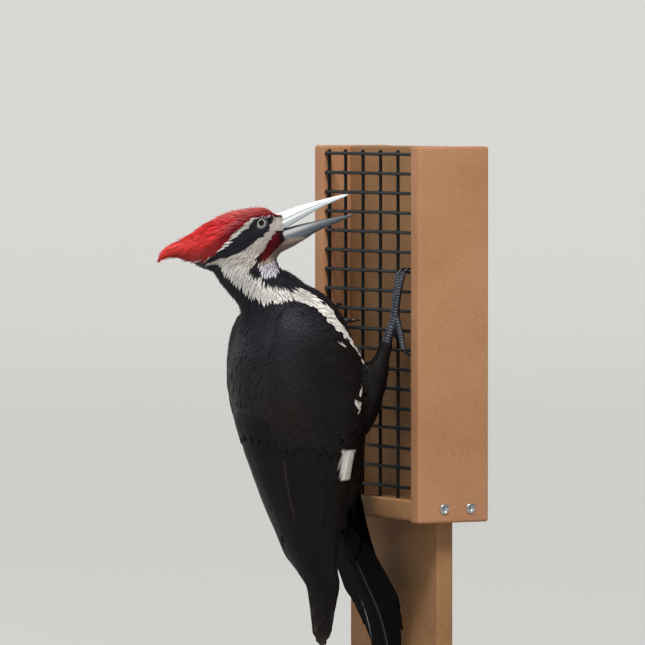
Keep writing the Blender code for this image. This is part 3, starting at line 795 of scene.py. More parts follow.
def grid_tree() -> bpy.types.NodeTree:
    """A welded wire grid: a coated wire along each edge of the host, and a blob at each loose point."""
    net, given = shape_tree("WeldedGrid", [
        ("Wire", "NodeSocketFloat", 0.001), ("Blob", "NodeSocketFloat", 0.0015),
        ("Wander", "NodeSocketFloat", 0.0006), ("Material", "NodeSocketMaterial", None)])
    ring = net.take("GeometryNodeCurvePrimitiveCircle", {"Resolution": 12, "Radius": given["Wire"]})
    line = net.take("GeometryNodeMeshToCurve", {0: given["Geometry"]})
    line = net.take("GeometryNodeResampleCurve", {"Curve": line, "Count": 70})
    wires = net.take("GeometryNodeCurveToMesh", {"Curve": line, "Profile Curve": ring, "Fill Caps": True})
    edges = net.take("GeometryNodeInputMeshVertexNeighbors", output="Vertex Count")
    loose = net.take("FunctionNodeCompare", {"A": edges, "B": 0}, data_type="INT", operation="EQUAL")
    size = net.take("ShaderNodeCombineXYZ", {0: 0.8, 1: 1.0, 2: 1.0})
    ball = net.take("GeometryNodeMeshIcoSphere", {"Radius": given["Blob"], "Subdivisions": 3})
    blobs = net.take("GeometryNodeInstanceOnPoints", {"Points": given["Geometry"], "Selection": loose,
                                                      "Instance": ball, "Scale": size})
    blobs = net.take("GeometryNodeRealizeInstances", {0: blobs})
    both = net.add("GeometryNodeJoinGeometry")
    for part in (wires, blobs):
        net.tree.links.new(part, both.inputs[0])
    place = net.take("GeometryNodeInputPosition")
    noise = net.take("ShaderNodeTexNoise", {"Vector": place, "Scale": 22.0, "Detail": 1.0}, "Color")
    centred = net.take("ShaderNodeVectorMath", {0: noise, 1: (0.5, 0.5, 0.5)}, operation="SUBTRACT")
    sway = net.take("ShaderNodeVectorMath", {0: centred, "Scale": given["Wander"]}, operation="SCALE")
    shaken = net.take("GeometryNodeSetPosition", {"Geometry": both.outputs[0], "Offset": sway})
    return close_tree(net, shaken, given["Material"])


def screw_tree() -> bpy.types.NodeTree:
    """Pan screw heads with a cross recess, one at each point of the host, facing along its own way."""
    net, given = shape_tree("ScrewHeads", [
        ("Radius", "NodeSocketFloat", 0.0034), ("Height", "NodeSocketFloat", 0.001),
        ("Turn", "NodeSocketFloat", 0.4), ("Material", "NodeSocketMaterial", None)])
    dome = net.take("GeometryNodeMeshUVSphere", {"Segments": 48, "Rings": 24, "Radius": 1.0})
    flat = net.take("ShaderNodeCombineXYZ", {0: given["Radius"], 1: given["Radius"], 2: given["Height"]})
    head = net.take("GeometryNodeTransform", {"Geometry": dome, "Scale": flat})
    cut = net.maths("MULTIPLY", given["Radius"], 1.15)
    slot = net.maths("MULTIPLY", given["Radius"], 0.26)
    deep = net.maths("MULTIPLY", given["Height"], 1.1)
    raised = net.take("ShaderNodeCombineXYZ", {2: given["Height"]})
    for first, second in ((cut, slot), (slot, cut)):
        size = net.take("ShaderNodeCombineXYZ", {0: first, 1: second, 2: deep})
        bar = net.take("GeometryNodeMeshCube", {"Size": size})
        bar = net.take("GeometryNodeTransform", {"Geometry": bar, "Translation": raised})
        head = net.take("GeometryNodeMeshBoolean", {"Mesh 1": head, "Mesh 2": bar}, operation="DIFFERENCE",
                        solver="EXACT")
    spin = net.take("ShaderNodeCombineXYZ", {2: given["Turn"]})
    spun = net.take("GeometryNodeTransform", {"Geometry": head, "Rotation": spin})
    way = net.take("GeometryNodeInputNamedAttribute", {"Name": "way"}, data_type="FLOAT_VECTOR")
    turn = net.take("FunctionNodeAlignRotationToVector", {"Vector": way}, axis="Z")
    copies = net.take("GeometryNodeInstanceOnPoints", {"Points": given["Geometry"], "Instance": spun,
                                                       "Rotation": turn})
    return close_tree(net, copies, given["Material"])


def scute_tree() -> bpy.types.NodeTree:
    """Scutes along a toe or shank: half rings that overlap down each curve, sized by its radius."""
    net, given = shape_tree("ScuteRows", [
        ("Pitch", "NodeSocketFloat", 0.0019), ("Sweep", "NodeSocketFloat", 2.8),
        ("Away", "NodeSocketVector", (-1, 0, 0)), ("Material", "NodeSocketMaterial", None)])
    curve = net.take("GeometryNodeMeshToCurve", {0: given["Geometry"]})
    curve = net.take("GeometryNodeResampleCurve", {"Curve": curve, "Length": given["Pitch"]}, mode="LENGTH")
    half = net.maths("MULTIPLY", given["Sweep"], -0.5)
    arc = net.take("GeometryNodeCurveArc", {"Resolution": 12, "Radius": 1.0, "Start Angle": half,
                                            "Sweep Angle": given["Sweep"]})
    ring = net.take("GeometryNodeCurvePrimitiveCircle", {"Resolution": 6, "Radius": 1.0})
    flat = net.take("GeometryNodeTransform", {"Geometry": ring, "Scale": (0.14, 0.3, 1.0)})
    plate = net.take("GeometryNodeCurveToMesh", {"Curve": arc, "Profile Curve": flat, "Fill Caps": True})
    tangent = net.take("GeometryNodeInputTangent")
    turn = net.take("FunctionNodeAlignRotationToVector", {"Vector": tangent}, axis="Z")
    turn = net.take("FunctionNodeAlignRotationToVector", {"Rotation": turn, "Vector": given["Away"]},
                    axis="X", pivot_axis="Z")
    radius = net.take("GeometryNodeInputNamedAttribute", {"Name": "girth"}, data_type="FLOAT")
    tall = net.maths("MULTIPLY", given["Pitch"], 2.0)
    scale = net.take("ShaderNodeCombineXYZ", {0: radius, 1: radius, 2: tall})
    copies = net.take("GeometryNodeInstanceOnPoints", {"Points": curve, "Instance": plate, "Rotation": turn,
                                                       "Scale": scale})
    return close_tree(net, copies, given["Material"])


GRID, SCUTES, HEADS = grid_tree(), scute_tree(), screw_tree()


# ---- plumage plan ----


class Tract(Enum):
    """The parts of the plumage that are laid with feathers of one kind, numbered."""

    FACE = 0
    CROWN = 1
    NECK = 2
    BACK = 3
    BREAST = 4
    THIGH = 5


@dataclass
class Markings:
    """The colours of the plumage, told on the head's own side view and round the spine, with a painted
    highlight on the top of the crown and painted sheen on the upper back.
    """

    red_edge: tuple = ((-66, -15), (-40.1, -14.5), (-33.3, -12), (-26.2, -7), (-18.6, -1), (-10.3, 3.1),
                       (-3.5, 6.3), (1.7, 5.7), (10.4, 4), (16, 2.2))
    brow_edge: tuple = ((-42, -15.5), (-32.1, -11.6), (-23.3, -6.4), (-14.3, -2.0), (-6, 1.6), (-3.5, 4.2),
                        (0.7, 5.1), (6.1, 3.9), (12, 3.5))
    stripe_edge: tuple = ((-42, -18.5), (-35.7, -16.9), (-28.1, -15.5), (-17.6, -14.2), (-12.1, -12.5),
                          (-8, -11), (-3.5, -8.5), (1.5, -7.2), (5.5, -5.2), (8.6, -1.8), (12, 1.6))
    malar_top: tuple = ((-8.4, -22.7), (-6.5, -19.6), (-1.8, -17.7), (2.1, -13.9), (5.4, -10.5), (9.5, -7.9),
                        (14.1, -6.6), (24.0, -8.6))
    malar_bottom: tuple = ((-8.4, -24.6), (2.6, -22.4), (8.4, -18.9), (14.6, -15.6), (21.2, -12.3),
                           (24.5, -10.4))
    head_end: tuple = ((-42, -16.5), (-30, -20), (-8, -24.5), (12, -25.5))
    nape_edge: tuple = ((0, 22), (9, 20), (13, 26), (22, 29), (30, 35), (34, 44), (39, 54), (42, 70),
                        (45, 79), (47, 92), (52, 104), (57, 110), (66, 112), (75, 116), (80, 124), (85, 128),
                        (92, 132), (99, 134))
    front_edge: tuple = ((12, 100), (16.5, 70), (22, 70), (26, 79), (31, 78), (35, 89), (39, 97), (43, 101),
                         (45, 112), (47, 127), (52, 131), (62, 130), (75, 131), (86, 136), (95, 138))
    red: Array = hue(216, 24, 34)
    bright_red: Array = hue(240, 74, 60)
    deep_red: Array = hue(140, 6, 24)
    # painted highlight: the pale rose that the top of the crown is tinted towards
    crown_highlight: Array = hue(236, 120, 112)
    white: Array = hue(232, 228, 222)
    cheek: Array = hue(206, 198, 190)
    slate: Array = hue(34, 34, 42)
    black: Array = hue(22, 20, 22)
    # painted sheen: the upper back's black, tinted bluer and a little lighter than the lower back's
    mantle_sheen: Array = hue(36, 36, 43)
    brown_black: Array = hue(34, 30, 28)
    wing_black: Array = hue(25, 22, 22)
    wing_strip: tuple = ((103, 129), (108, 119), (117, 113.5), (122, 115), (133, 113))
    flecks: tuple = ((71.5, 112), (78.7, 111), (82, 118), (76, 116), (88, 122))
    chin: Array = hue(168, 150, 134)
    throat: Array = hue(206, 202, 212)
    malar: Array = hue(104, 15, 26)

    def head(self, points: Array) -> Array:
        """Colours on the head, with a painted highlight on the top of the crown.

        Args:
            points: places in the head frame.
        Returns:
            Linear colours.
        """
        x, _, z = points.T
        red_edge, low_edge = told(x, self.red_edge), told(x, self.malar_bottom)
        colour = np.where((z < told(x, self.stripe_edge))[:, None], self.cheek, self.slate)
        middle = ease(-np.abs(x - 5.0), -11.0, -6.0)
        malar = (z < told(x, self.malar_top)) & (z > low_edge) & (x > -9.5)
        colour = np.where(malar[:, None], mix(self.black, self.malar, middle), colour)
        chin = (z <= low_edge) & (x > -8)
        colour = np.where(chin[:, None], self.chin, colour)
        brow = (z > told(x, self.brow_edge)) & (z <= red_edge)
        colour = np.where(brow[:, None], self.white, colour)
        red = z > red_edge
        rear = ease(-x, 18.0, 62.0)
        rim = ease(z - red_edge, 3.5, 12.0)
        crown = mix(mix(self.deep_red, self.red, rim), self.bright_red, rear * 0.55)
        # painted highlight: the top of the crown is tinted towards pale rose, as lit from above
        crown = mix(crown, self.crown_highlight, ease(z, 6.5, 10.5) * ease(x, -34.0, -18.0) * 0.55)
        return np.where(red[:, None], crown, colour)

    def body(self, along: Array, angle: Array, points: Array) -> Array:
        """Colours on the neck and trunk, with painted sheen on the upper back over its black.

        Args:
            along: distance along the spine.
            angle: degrees from the middle of the back.
            points: the same places in the row frame.
        Returns:
            Linear colours.
        """
        ahead = points[:, 0] - BIRD_AT[0]
        # painted sheen on the upper back, fading into the lower back's brown-black
        colour = mix(self.mantle_sheen, self.brown_black, ease(along, 60.0, 120.0))
        flank = ease(angle, 55.0, 85.0) * ease(along, 55.0, 85.0)
        colour = mix(colour, self.wing_black, np.maximum(ease(along, 110.0, 150.0), flank))
        white = (angle > told(along, self.nape_edge)) & (angle < told(along, self.front_edge)) & (along < 98)
        white &= (ahead < -25.0) | (along < 60)
        colour = np.where(white[:, None], self.white, colour)
        strip = np.abs(angle - told(along, self.wing_strip)) < 1.0
        strip &= (along > 103) & (along < 134) & (ahead < -25.0)
        for spot, turn in self.flecks:
            strip |= (along - spot) ** 2 + ((angle - turn) * 0.7) ** 2 < 1.5
        colour = np.where(strip[:, None], self.cheek, colour)
        chin = (along < 20.0) & (angle > 105.0)
        colour = np.where(chin[:, None], self.chin, colour)
        throat = ((along - 24.0) / 8.5) ** 2 + ((angle - 120.0) / 32.0) ** 2 < 1.0
        return np.where(throat[:, None], self.throat, colour)

    def paint(self, points: Array, spine: Spine, rng: Random, ragged: float = 0.5) -> Array:
        """Colours of skin or feathers anywhere on the body.

        Args:
            points: places in the row frame.
            spine: the body's line.
            rng: the random source for ragged borders.
            ragged: how far a border wanders.
        Returns:
            Linear colours.
        """
        points = points + rng.normal(0.0, ragged, points.shape)
        local = to_head(points)
        along, angle = spine.place(points)
        angle = angle + rng.normal(0.0, ragged * 3.0, len(angle))
        on_head = local[:, 2] > told(local[:, 0], self.head_end)
        return np.where(on_head[:, None], self.head(local), self.body(along, angle, points))


@dataclass
class Lay:
    """How the feathers of one tract are laid: spacing, length, width, depth of coat."""

    spacing: float
    length: float
    width: float
    depth: float


LAYS = {
    Tract.FACE: Lay(0.85, 3.6, 0.85, 1.1),
    Tract.CROWN: Lay(1.05, 9.0, 0.85, 2.4),
    Tract.NECK: Lay(1.05, 6.0, 1.25, 2.0),
    Tract.BACK: Lay(2.3, 17.0, 7.2, 1.5),
    Tract.BREAST: Lay(2.4, 14.0, 5.6, 1.8),
    Tract.THIGH: Lay(1.5, 8.0, 3.0, 1.2),
}


class Template:
    """A vane's outline as rows across a shaft, closed at both ends, to be laid along any path.

    SOLE is the lift of the corner below the shaft.
    """

    SOLE = -0.6

    def __init__(self, rows: int, columns: int, profile: Callable[[Array], Array]) -> None:
        """Lays out the rows, each with one corner more on the under side, below the shaft.

        Args:
            rows: rings between the root and the tip.
            columns: corners across the upper side of each ring.
            profile: half width as a share of the full half width, for shares along the vane.
        """
        self.steps = np.linspace(0.0, 1.0, rows + 2)
        across = np.linspace(-1.0, 1.0, columns)
        across, lift = np.append(across, 0.0), np.append(1.0 - across**2, self.SOLE)
        sides = len(across)
        self.step = np.concatenate([[0], np.repeat(np.arange(1, rows + 1), sides), [rows + 1]])
        self.side = np.concatenate([[0.0], np.tile(across, rows), [0.0]])
        self.lift = np.concatenate([[0.0], np.tile(lift, rows), [0.0]])
        self.width = np.concatenate([[0.0], np.repeat(profile(self.steps[1:-1]), sides), [0.0]])
        ring = np.arange(sides)
        after = (ring + 1) % sides
        last = 1 + rows * sides
        caps = [np.stack([np.zeros_like(ring), 1 + after, 1 + ring], 1),
                np.stack([np.full_like(ring, last), last - sides + ring, last - sides + after], 1)]
        self.triangles = np.vstack(caps)[:, ::-1]
        band = np.stack([ring, sides + ring, sides + after, after], 1)
        self.quads = np.vstack([band + start for start in range(1, last - sides, sides)])

    def faces(self, count: int) -> list[Array]:
        """Face arrays for that many copies."""
        base = np.arange(count)[:, None, None] * len(self.step)
        return [(part[None] + base).reshape(-1, part.shape[1]) for part in (self.triangles, self.quads)]


def rounded(t: Array) -> Array:
    """A contour feather's outline: broad, with a round tip."""
    return np.clip(1.25 * np.sin(np.pi * t**0.7) ** 0.6, 0.2, 1.0) * np.sqrt(np.clip((1 - t) / 0.16, 0, 1))


def tapered(t: Array) -> Array:
    """A face feather's outline: narrow and pointed."""
    return np.clip(1.15 - np.abs(t - 0.35) * 1.5, 0.15, 1.0)


def hairlike(t: Array) -> Array:
    """A crest feather's outline: a long even strand with a fine tip."""
    return np.clip(np.minimum(0.5 + t * 2.0, 1.0) * (1.0 - t**3 * 0.75), 0.15, 1.0)


class Body:
    """The outer form of the flesh, the lie of the feathers over it, and the skin inside it.

    The solids grow by SWELL before they are fused, and the fused form is drawn in again by TRIM. Below
    WING_END the wings stay bare for their own vanes. There are two forms: the track, with the wings' lower
    ends, and the form without them, which is drawn to the track over the heights in BLEND. JAW tells place,
    top, bottom and half width of the lower jaw's rings, CUFF place along the shank and radius of the cuffs'
    rings, and HEAD_LIE places on the head with the way that the feathers lie there.
    """

    NODES = ("head", "crest", "neck", "trunk", "thigh_left", "thigh_right", "wing_left", "wing_right")
    ADDED = ("jaw", "cuff_left", "cuff_right")
    VOXEL = 1.4
    SWELL, TRIM = 1.5, 1.15
    WING_END, BLEND = 240.0, (224.0, 236.0)
    RING, INSET = 16, 0.9
    JAW = ((4, -8.4, -22, 8.6), (14, -8.6, -21.8, 8.2), (20, -9.6, -21, 7.5), (26, -11.2, -19.4, 6.2),
           (32, -13, -17.4, 4.4), (36.5, -14.4, -16, 1.8))
    CUFF = ((-8, 4.6), (-3, 4.4), (1.5, 4.0), (4, 3.2))
    HIP, ANKLE = (-30.0, 22.0, 245.0), (-12.0, 42.0, 290.0)
    HEAD_LIE = (
        ((16, 0, 5), (-1, 0, 0.35)), ((4, 0, 14), (-1, 0, 0.15)), ((-14, 0, 17), (-1, 0, 0.0)),
        ((-34, 0, 12), (-1, 0, -0.2)), ((-52, 0, 3), (-1, 0, -0.3)), ((-64, 0, -6), (-1, 0, -0.4)),
        ((9, 8.5, -1), (-1, 0.2, 0.1)), ((15.5, 6.5, 0), (1, 0.1, -0.25)), ((14, 8, -4), (1, 0.0, -0.1)),
        ((0, 10, 9), (-1, 0, 0.1)), ((-10, 14, 4), (-1, 0, -0.02)), ((-28, 14, 0), (-1, 0, -0.2)),
        ((-6, 14, -9), (-1, 0, -0.2)), ((-22, 15, -10), (-1, 0, -0.3)), ((-36, 9, -16), (-0.75, 0, -0.66)),
        ((8, 9, -14), (-1, 0.1, -0.1)), ((4, 0, -22), (-1, 0, -0.1)), ((-10, 12, -26), (-0.7, 0, -0.7)),
        ((-38, 0, -22), (-0.4, 0, -0.9)))

    def __init__(self, markings: Markings, spine: Spine, rng: Random) -> None:
        """Joins the solids to one closed form, and works out tracts, lie and depth at each of its corners."""
        self.markings, self.spine, self.rng = markings, spine, rng
        meshes = [read_mesh(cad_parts[name]) for name in self.NODES]
        added = [self.jaw(), *(self.cuff(side) for side in SIDES)]
        self.track, _, _ = self.shell([*meshes, *added])
        meshes[-2:] = [clip(*mesh, self.WING_END) for mesh in meshes[-2:]]
        self.form, owner, solids = self.shell([*meshes, *added])
        share = ease(self.form.points[:, 2], *self.BLEND)
        snapped, _ = self.track.nearest(self.form.points)
        self.form = Surface(mix(self.form.points, snapped, share), self.form.triangles)
        _, faces = solids.nearest(self.form.points)
        self.owner = owner[faces]
        self.local = to_head(self.form.points)
        self.along, self.angle = spine.place(self.form.points)
        self.plan()

    def shell(self, meshes: Sequence[tuple[Array, Array]]) -> tuple[Surface, Array, Surface]:
        """One closed form round those solids, with the hollow between the wings filled and softened.

        Args:
            meshes: the solids' corners and triangles.
        Returns:
            The form, the owner of each triangle of the joined solids, and the joined solids.
        """
        solids, owner = Surface.joined(meshes)
        rough = solids.remeshed(self.SWELL, self.VOXEL, 4)
        along, angle = self.spine.place(rough.points)
        saddle = ease(along, 42.0, 60.0) * ease(-angle, -112.0, -80.0) * ease(-along, -160.0, -140.0)
        soft = rough.blur(rough.points, 70) + rough.normals * 0.9
        shaped = mix(rough.points, soft, rough.blur(saddle, 10))
        return Surface(shaped - rough.normals * self.TRIM, rough.triangles), owner, solids

    def jaw(self) -> tuple[Array, Array]:
        """The feathered root of the lower jaw, which runs out under the bill."""
        turn = circle(self.RING)
        rings = []
        for x, top, bottom, half in spline(self.JAW, 12):
            tall, wide = (max(size - self.INSET, 0.6) for size in ((top - bottom) / 2, half))
            rise = (top + bottom) / 2 + tall * np.sin(turn)
            rings.append(np.stack([np.full_like(turn, x), wide * np.cos(turn), rise], axis=1))
        points, (quads, fans) = loft(np.array(rings))
        return from_head(points), np.vstack([halves(quads), fans])

    def cuff(self, side: str) -> tuple[Array, Array]:
        """The feathered end of a thigh, which reaches a little way down over the shank."""
        ankle, joint = (np.array((x, SIDES[side] * y, z)) + BIRD_AT for x, y, z in FEET[side][:2])
        way = unit(joint - ankle)
        across = unit(np.cross(way, (0.0, 1.0, 0.0)))
        turn = circle(self.RING)[:, None]
        rim = np.cos(turn) * across + np.sin(turn) * np.cross(way, across)
        points, (quads, fans) = loft(np.array([ankle + way * at + rim * radius for at, radius in self.CUFF]))
        return points, np.vstack([halves(quads), fans])

    def node(self, *names: str) -> Array:
        """Which corners lie nearest to those solids."""
        return np.isin(self.owner, [(*self.NODES, *self.ADDED).index(name) for name in names])

    def plan(self) -> None:
        """Shares the corners out to the tracts and smooths the sizes between them."""
        x, y, z = self.local.T
        red = z > told(x, self.markings.red_edge)
        on_head = self.node("head", "crest", "jaw")
        wing = self.node("wing_left", "wing_right")
        self.tract = np.full(len(x), Tract.BREAST.value)
        for tract, where in (
            (Tract.BACK, wing | ((self.angle < 95) & (self.along > 48))),
            (Tract.NECK, self.node("neck")),
            (Tract.THIGH, self.node("thigh_left", "thigh_right", "cuff_left", "cuff_right")),
            (Tract.FACE, on_head & ~red),
            (Tract.CROWN, on_head & red),
        ):
            self.tract[where] = tract.value
        sizes = np.array([astuple(LAYS[tract]) for tract in Tract])[self.tract]
        crest = ease(-x, -12.0, 45.0) * (self.tract == Tract.CROWN.value)
        sizes[:, 1] += crest * 9.0
        small = 1.0 - 0.42 * ease(-self.along, -100.0, -48.0) * ~(on_head | self.node("neck"))
        sizes[:, :3] *= small[:, None]
        bill = ease(x, 2.0, 16.0) * on_head
        nasal = ease(x, 10.5, 13.5) * ease(z, -8.5, -6.0) * on_head * ease(np.abs(y), 2.0, 4.0)
        eye_gap = np.where(np.abs(y) > 4.0, np.hypot(x - Eye.centre[0], z - Eye.centre[2]), 99.0)
        shrink = 1.0 - 0.45 * np.maximum(bill, ease(-eye_gap, -10.0, -5.0)) * on_head
        sizes[:, :3] *= shrink[:, None]
        sizes[:, 1] += 2.4 * nasal
        hollow = ((self.form.blur(self.form.points, 10) - self.form.points) * self.form.normals).sum(1)
        self.crease = self.form.blur(ease(hollow, 0.05, 0.3), 4)
        sizes[:, :3] *= 1.0 - (0.45 * self.crease * ~on_head)[:, None]
        self.sizes = self.form.blur(sizes, 6)
        bare = wing & (self.form.points[:, 2] < self.WING_END + 1.0)
        bare |= (eye_gap <= 5.3) | (on_head & (x > 15.5) & ~self.node("jaw"))
        self.feathered = ~bare
        self.lies = [track.blur(self.guide(track.points), 4) for track in (self.track, self.form)]

    def guide(self, points: Array) -> Array:
        """The lie of the feathers at places in the row frame, from guides spread over the body."""
        places, ways = [], []
        for place, way in self.HEAD_LIE:
            for side in SIDES.values() if place[1] else (1.0,):
                places.append(from_head(np.multiply(place, (1.0, side, 1.0))))
                ways.append(np.multiply(way, (1.0, side, 1.0)) @ HEAD_AXES)
        spine_places, spine_ways = self.spine.guides()
        places, ways = np.vstack([*places, spine_places]), unit(np.vstack([*ways, spine_ways]))
        gap = np.linalg.norm(points[:, None] - places[None], axis=2) + 2.0
        weight = gap**-3.5
        flow = (weight[..., None] * ways[None]).sum(1)
        for side in SIDES.values():
            hip, ankle = (np.multiply(place, (1.0, side, 1.0)) + BIRD_AT for place in (self.HIP, self.ANKLE))
            down = unit(ankle - hip)
            share = (points - hip) @ down / np.linalg.norm(ankle - hip)
            axis = hip + np.clip(share, 0, 1)[:, None] * (ankle - hip)
            near = ease(-np.linalg.norm(points - axis, axis=1), -20.0, -10.0) * ease(share, 0.1, 0.5)
            flow = mix(unit(flow), down, near)
        return unit(flow)

    def skin(self) -> Piece:
        """Builds the one skin: the form drawn in by the coat's depth, with the plumage's markings."""
        form = self.form
        inside = form.points - form.normals * 0.05
        thick = np.array([form.tree.ray_cast(place, way)[3] or 40.0
                          for place, way in zip(inside.tolist(), (-form.normals).tolist())])
        depth = np.minimum(self.sizes[:, 3], thick * 0.3) * (1.0 - 0.85 * self.crease)
        self.depth = form.blur(depth, 6)
        points = form.blur(form.points - form.normals * self.depth[:, None], 2)
        colours = form.blur(self.markings.paint(form.points, self.spine, self.rng, 0.05), 1) * 0.85
        obj = make_mesh("bird_skin", points, [form.triangles], colours)
        return dress(obj, SKIN, "black_plumage", "head", "neck", "trunk", "thigh_left", "thigh_right")

    def paths(self, roots: Array, faces: Array, steps: Array, stray: float,
              track: Surface) -> tuple[Array, Array, Array, Array]:
        """Follows the lie of the feathers from each root over the form.

        Args:
            roots: places of the roots on the form.
            faces: their triangles.
            steps: shares of the length at which each path is told.
            stray: how far, in degrees, a feather's own way departs from the lie.
            track: the form that the feathers follow, with or without the wings' lower ends.
        Returns:
            Places, normals, ways along and the sizes at the roots.
        """
        sizes = self.form.at(np.column_stack([self.sizes, self.depth]), faces, roots)
        lie = self.lies[track is self.form]
        roots, faces = track.nearest(roots)
        turn = np.radians(self.rng.normal(0.0, stray, len(roots)))[:, None]
        length = sizes[:, 1] * self.rng.uniform(0.85, 1.15, len(roots))
        places, normals, ways = [roots], [unit(track.at(track.normals, faces, roots))], []
        for step in np.diff(steps):
            normal = normals[-1]
            way = track.at(lie, faces, places[-1])
            way = unit(way - normal * (way * normal).sum(1, keepdims=True))
            way = way * np.cos(turn) + np.cross(normal, way) * np.sin(turn)
            ways.append(way)
            place, faces = track.nearest(places[-1] + way * (length * step)[:, None])
            places.append(place)
            normals.append(unit(track.at(track.normals, faces, place)))
        ways.append(ways[-1])
        return np.stack(places, 1), np.stack(normals, 1), np.stack(ways, 1), sizes

    def unwrap(self, roots: Array) -> Array:
        """Each root's place on an unwrap of the body: round the spine, and along it from bill to tail."""
        along, angle = self.spine.place(roots)
        side = np.sign(roots[:, 1] - BIRD_AT[1])
        head = to_head(roots)
        front = ease(along, 12.0, -4.0)
        down = along * (1 - front) - (head[:, 0] + 45.0) * front
        return np.stack([0.5 + side * angle / 370.0, (down + 70.0) / 290.0], axis=1).clip(0.01, 0.99)


@dataclass
class Coat:
    """One piece of the plumage: roots spread over a tract, each grown to a vane.

    stray is a feather's turn away from the lie in degrees and lift the rise of its tip. droop bends it
    across the shaft, round shades it as if it were bent, and roll tips it to a side. wisps is the share of
    loose ones, settle how far the lower ones sink at the hem, and ragged how far the markings' edges wander.
    """

    name: str
    tract: Tract
    template: Template
    finish: Plumage
    slot: str
    stray: float = 6.0
    thickness: float = 0.22
    droop: float = 0.1
    lift: float = 0.0
    round: float = 0.3
    variety: float = 0.06
    root_shade: float = 0.75
    wisps: float = 0.0
    roll: float = 0.1
    settle: float = 0.0
    ragged: float = 0.35
    nodes: tuple[str, ...] = ()

    def build(self, body: Body, rng: Random) -> Piece:
        """Grows the tufts and joins them.

        Args:
            body: the form they lie on.
            rng: the random source.
        Returns:
            The coat piece.
        """
        wanted = (body.tract == self.tract.value) & body.feathered
        if self.settle:
            hem = body.WING_END + body.form.blur(rng.uniform(-90.0, 90.0, len(wanted)), 30)
            wanted &= body.form.points[:, 2] > hem
        roots, faces = body.form.scatter(body.sizes[:, 0], rng, wanted)
        high = roots[:, 2] > body.WING_END - 2.0
        near, over = body.track.nearest(roots)
        inside = ((near - roots) * body.track.at(body.track.normals, over, near)).sum(1)
        parts = np.flatnonzero(high), np.flatnonzero(~high & (inside < 0.9))
        steps, step = self.template.steps, self.template.step
        grown = [body.paths(roots[part], faces[part], steps, self.stray, track)
                 for part, track in zip(parts, (body.track, body.form))]
        places, normals, ways, sizes = (np.concatenate(pair) for pair in zip(*grown))
        roots, count = roots[np.concatenate(parts)], len(places)
        loose = (rng.random(count) < self.wisps)[:, None] * rng.uniform(0.3, 1.0, count)[:, None]
        rise = rng.uniform(0.0, 1.6 * self.thickness, count)[:, None]
        rise = rise + self.lift * steps[None] ** 2 + loose * 1.6 * steps[None] ** 2
        sink = sizes[:, 4, None] * (1.0 - steps[None]) ** 0.8
        settled = self.settle * ease(-places[..., 2], -body.WING_END - 14.0, 8.0 - body.WING_END)
        shafts = places + normals * (rise - sink * 0.95 - settled)[..., None]
        tint = body.markings.paint(places[:, len(steps) * 2 // 3], body.spine, rng, self.ragged)
        tint = tint * rng.normal(1.0, self.variety, (count, 1)).clip(0.7, 1.3)
        return self.join(shafts[:, step], normals[:, step], ways[:, step], sizes[:, 2] / 2, tint,
                         body.unwrap(roots), rng)

    def join(self, spots: Array, normals: Array, ways: Array, half: Array, tint: Array, home: Array,
             rng: Random) -> Piece:
        """Turns paths into closed vanes and makes the piece.

        Args:
            spots: places on each feather's shaft, one for each corner.
            normals: the outward ways there.
            ways: the ways along it there.
            half: half width of each feather.
            tint: colour of each feather.
            home: each root's place on the unwrap.
            rng: the random source.
        Returns:
            The coat piece.
        """
        t, count = self.template, len(spots)
        across = np.cross(normals, ways)
        half = half * rng.uniform(0.85, 1.15, count)
        side = t.side * t.width
        roll = rng.normal(0.0, self.roll, count)[:, None]
        width = half[:, None] * side[None]
        height = self.thickness * t.lift[None] * (0.35 + 0.65 * t.width[None]) \
            - self.droop * half[:, None] * side[None] ** 2 + roll * width
        points = spots + across * width[..., None] + normals * height[..., None]
        soft = normals * np.where(t.lift < 0, -1.0, 1.0)[None, :, None]
        soft = soft + across * (t.side * self.round)[None, :, None]
        vane = np.stack([0.5 + 0.5 * t.side, t.steps[t.step]], axis=1)
        maps = {"OFBake": (home[:, None] + (vane[None] - 0.5) * VANE_SPAN).reshape(-1, 2),
                "Vane": np.tile(vane, (count, 1))}
        shade = np.interp(t.steps[t.step], (0.0, 0.55, 1.0), (self.root_shade, 1.0, 1.05))[None, :, None]
        colours = (tint[:, None] * shade).reshape(-1, 3).clip(0, 1)
        obj = make_mesh(self.name, points.reshape(-1, 3), t.faces(count), colours, maps, soft.reshape(-1, 3))
        return dress(obj, self.finish, self.slot, *self.nodes)


# ---- flight feathers ----


def closed_sheet(top: Array, low: Array) -> tuple[Array, Array, Array]:
    """Joins an upper and a lower grid of corners into one closed thin body.

    Args:
        top: rows by columns of corners.
        low: the same, below.
    Returns:
        Quads that face outwards, the corners with the upper grid first, and their shading normals.
    """
    rows, columns = top.shape[:2]
    index = np.arange(rows * columns).reshape(rows, columns)
    a, b, c, d = index[:-1, :-1], index[:-1, 1:], index[1:, 1:], index[1:, :-1]
    upper = np.stack([a, b, c, d], axis=-1).reshape(-1, 4)
    lower = (upper + rows * columns)[:, ::-1]
    rim = np.concatenate([index[0], index[1:, -1], index[-1, -2::-1], index[-2:0:-1, 0]])
    after = np.roll(rim, -1)
    wall = np.stack([after, rim, rim + rows * columns, after + rows * columns], axis=1)
    quads = np.vstack([upper, lower, wall])
    corners = np.concatenate([top.reshape(-1, 3), low.reshape(-1, 3)])
    shade = vertex_normals(corners, halves(upper))[: rows * columns]
    p, q, r = (corners[quads[:, k]] - corners[0] for k in range(3))
    if (np.cross(p, q) * r).sum() < 0:
        quads, shade = quads[:, ::-1], -shade
    return quads, corners, np.concatenate([shade, -shade])


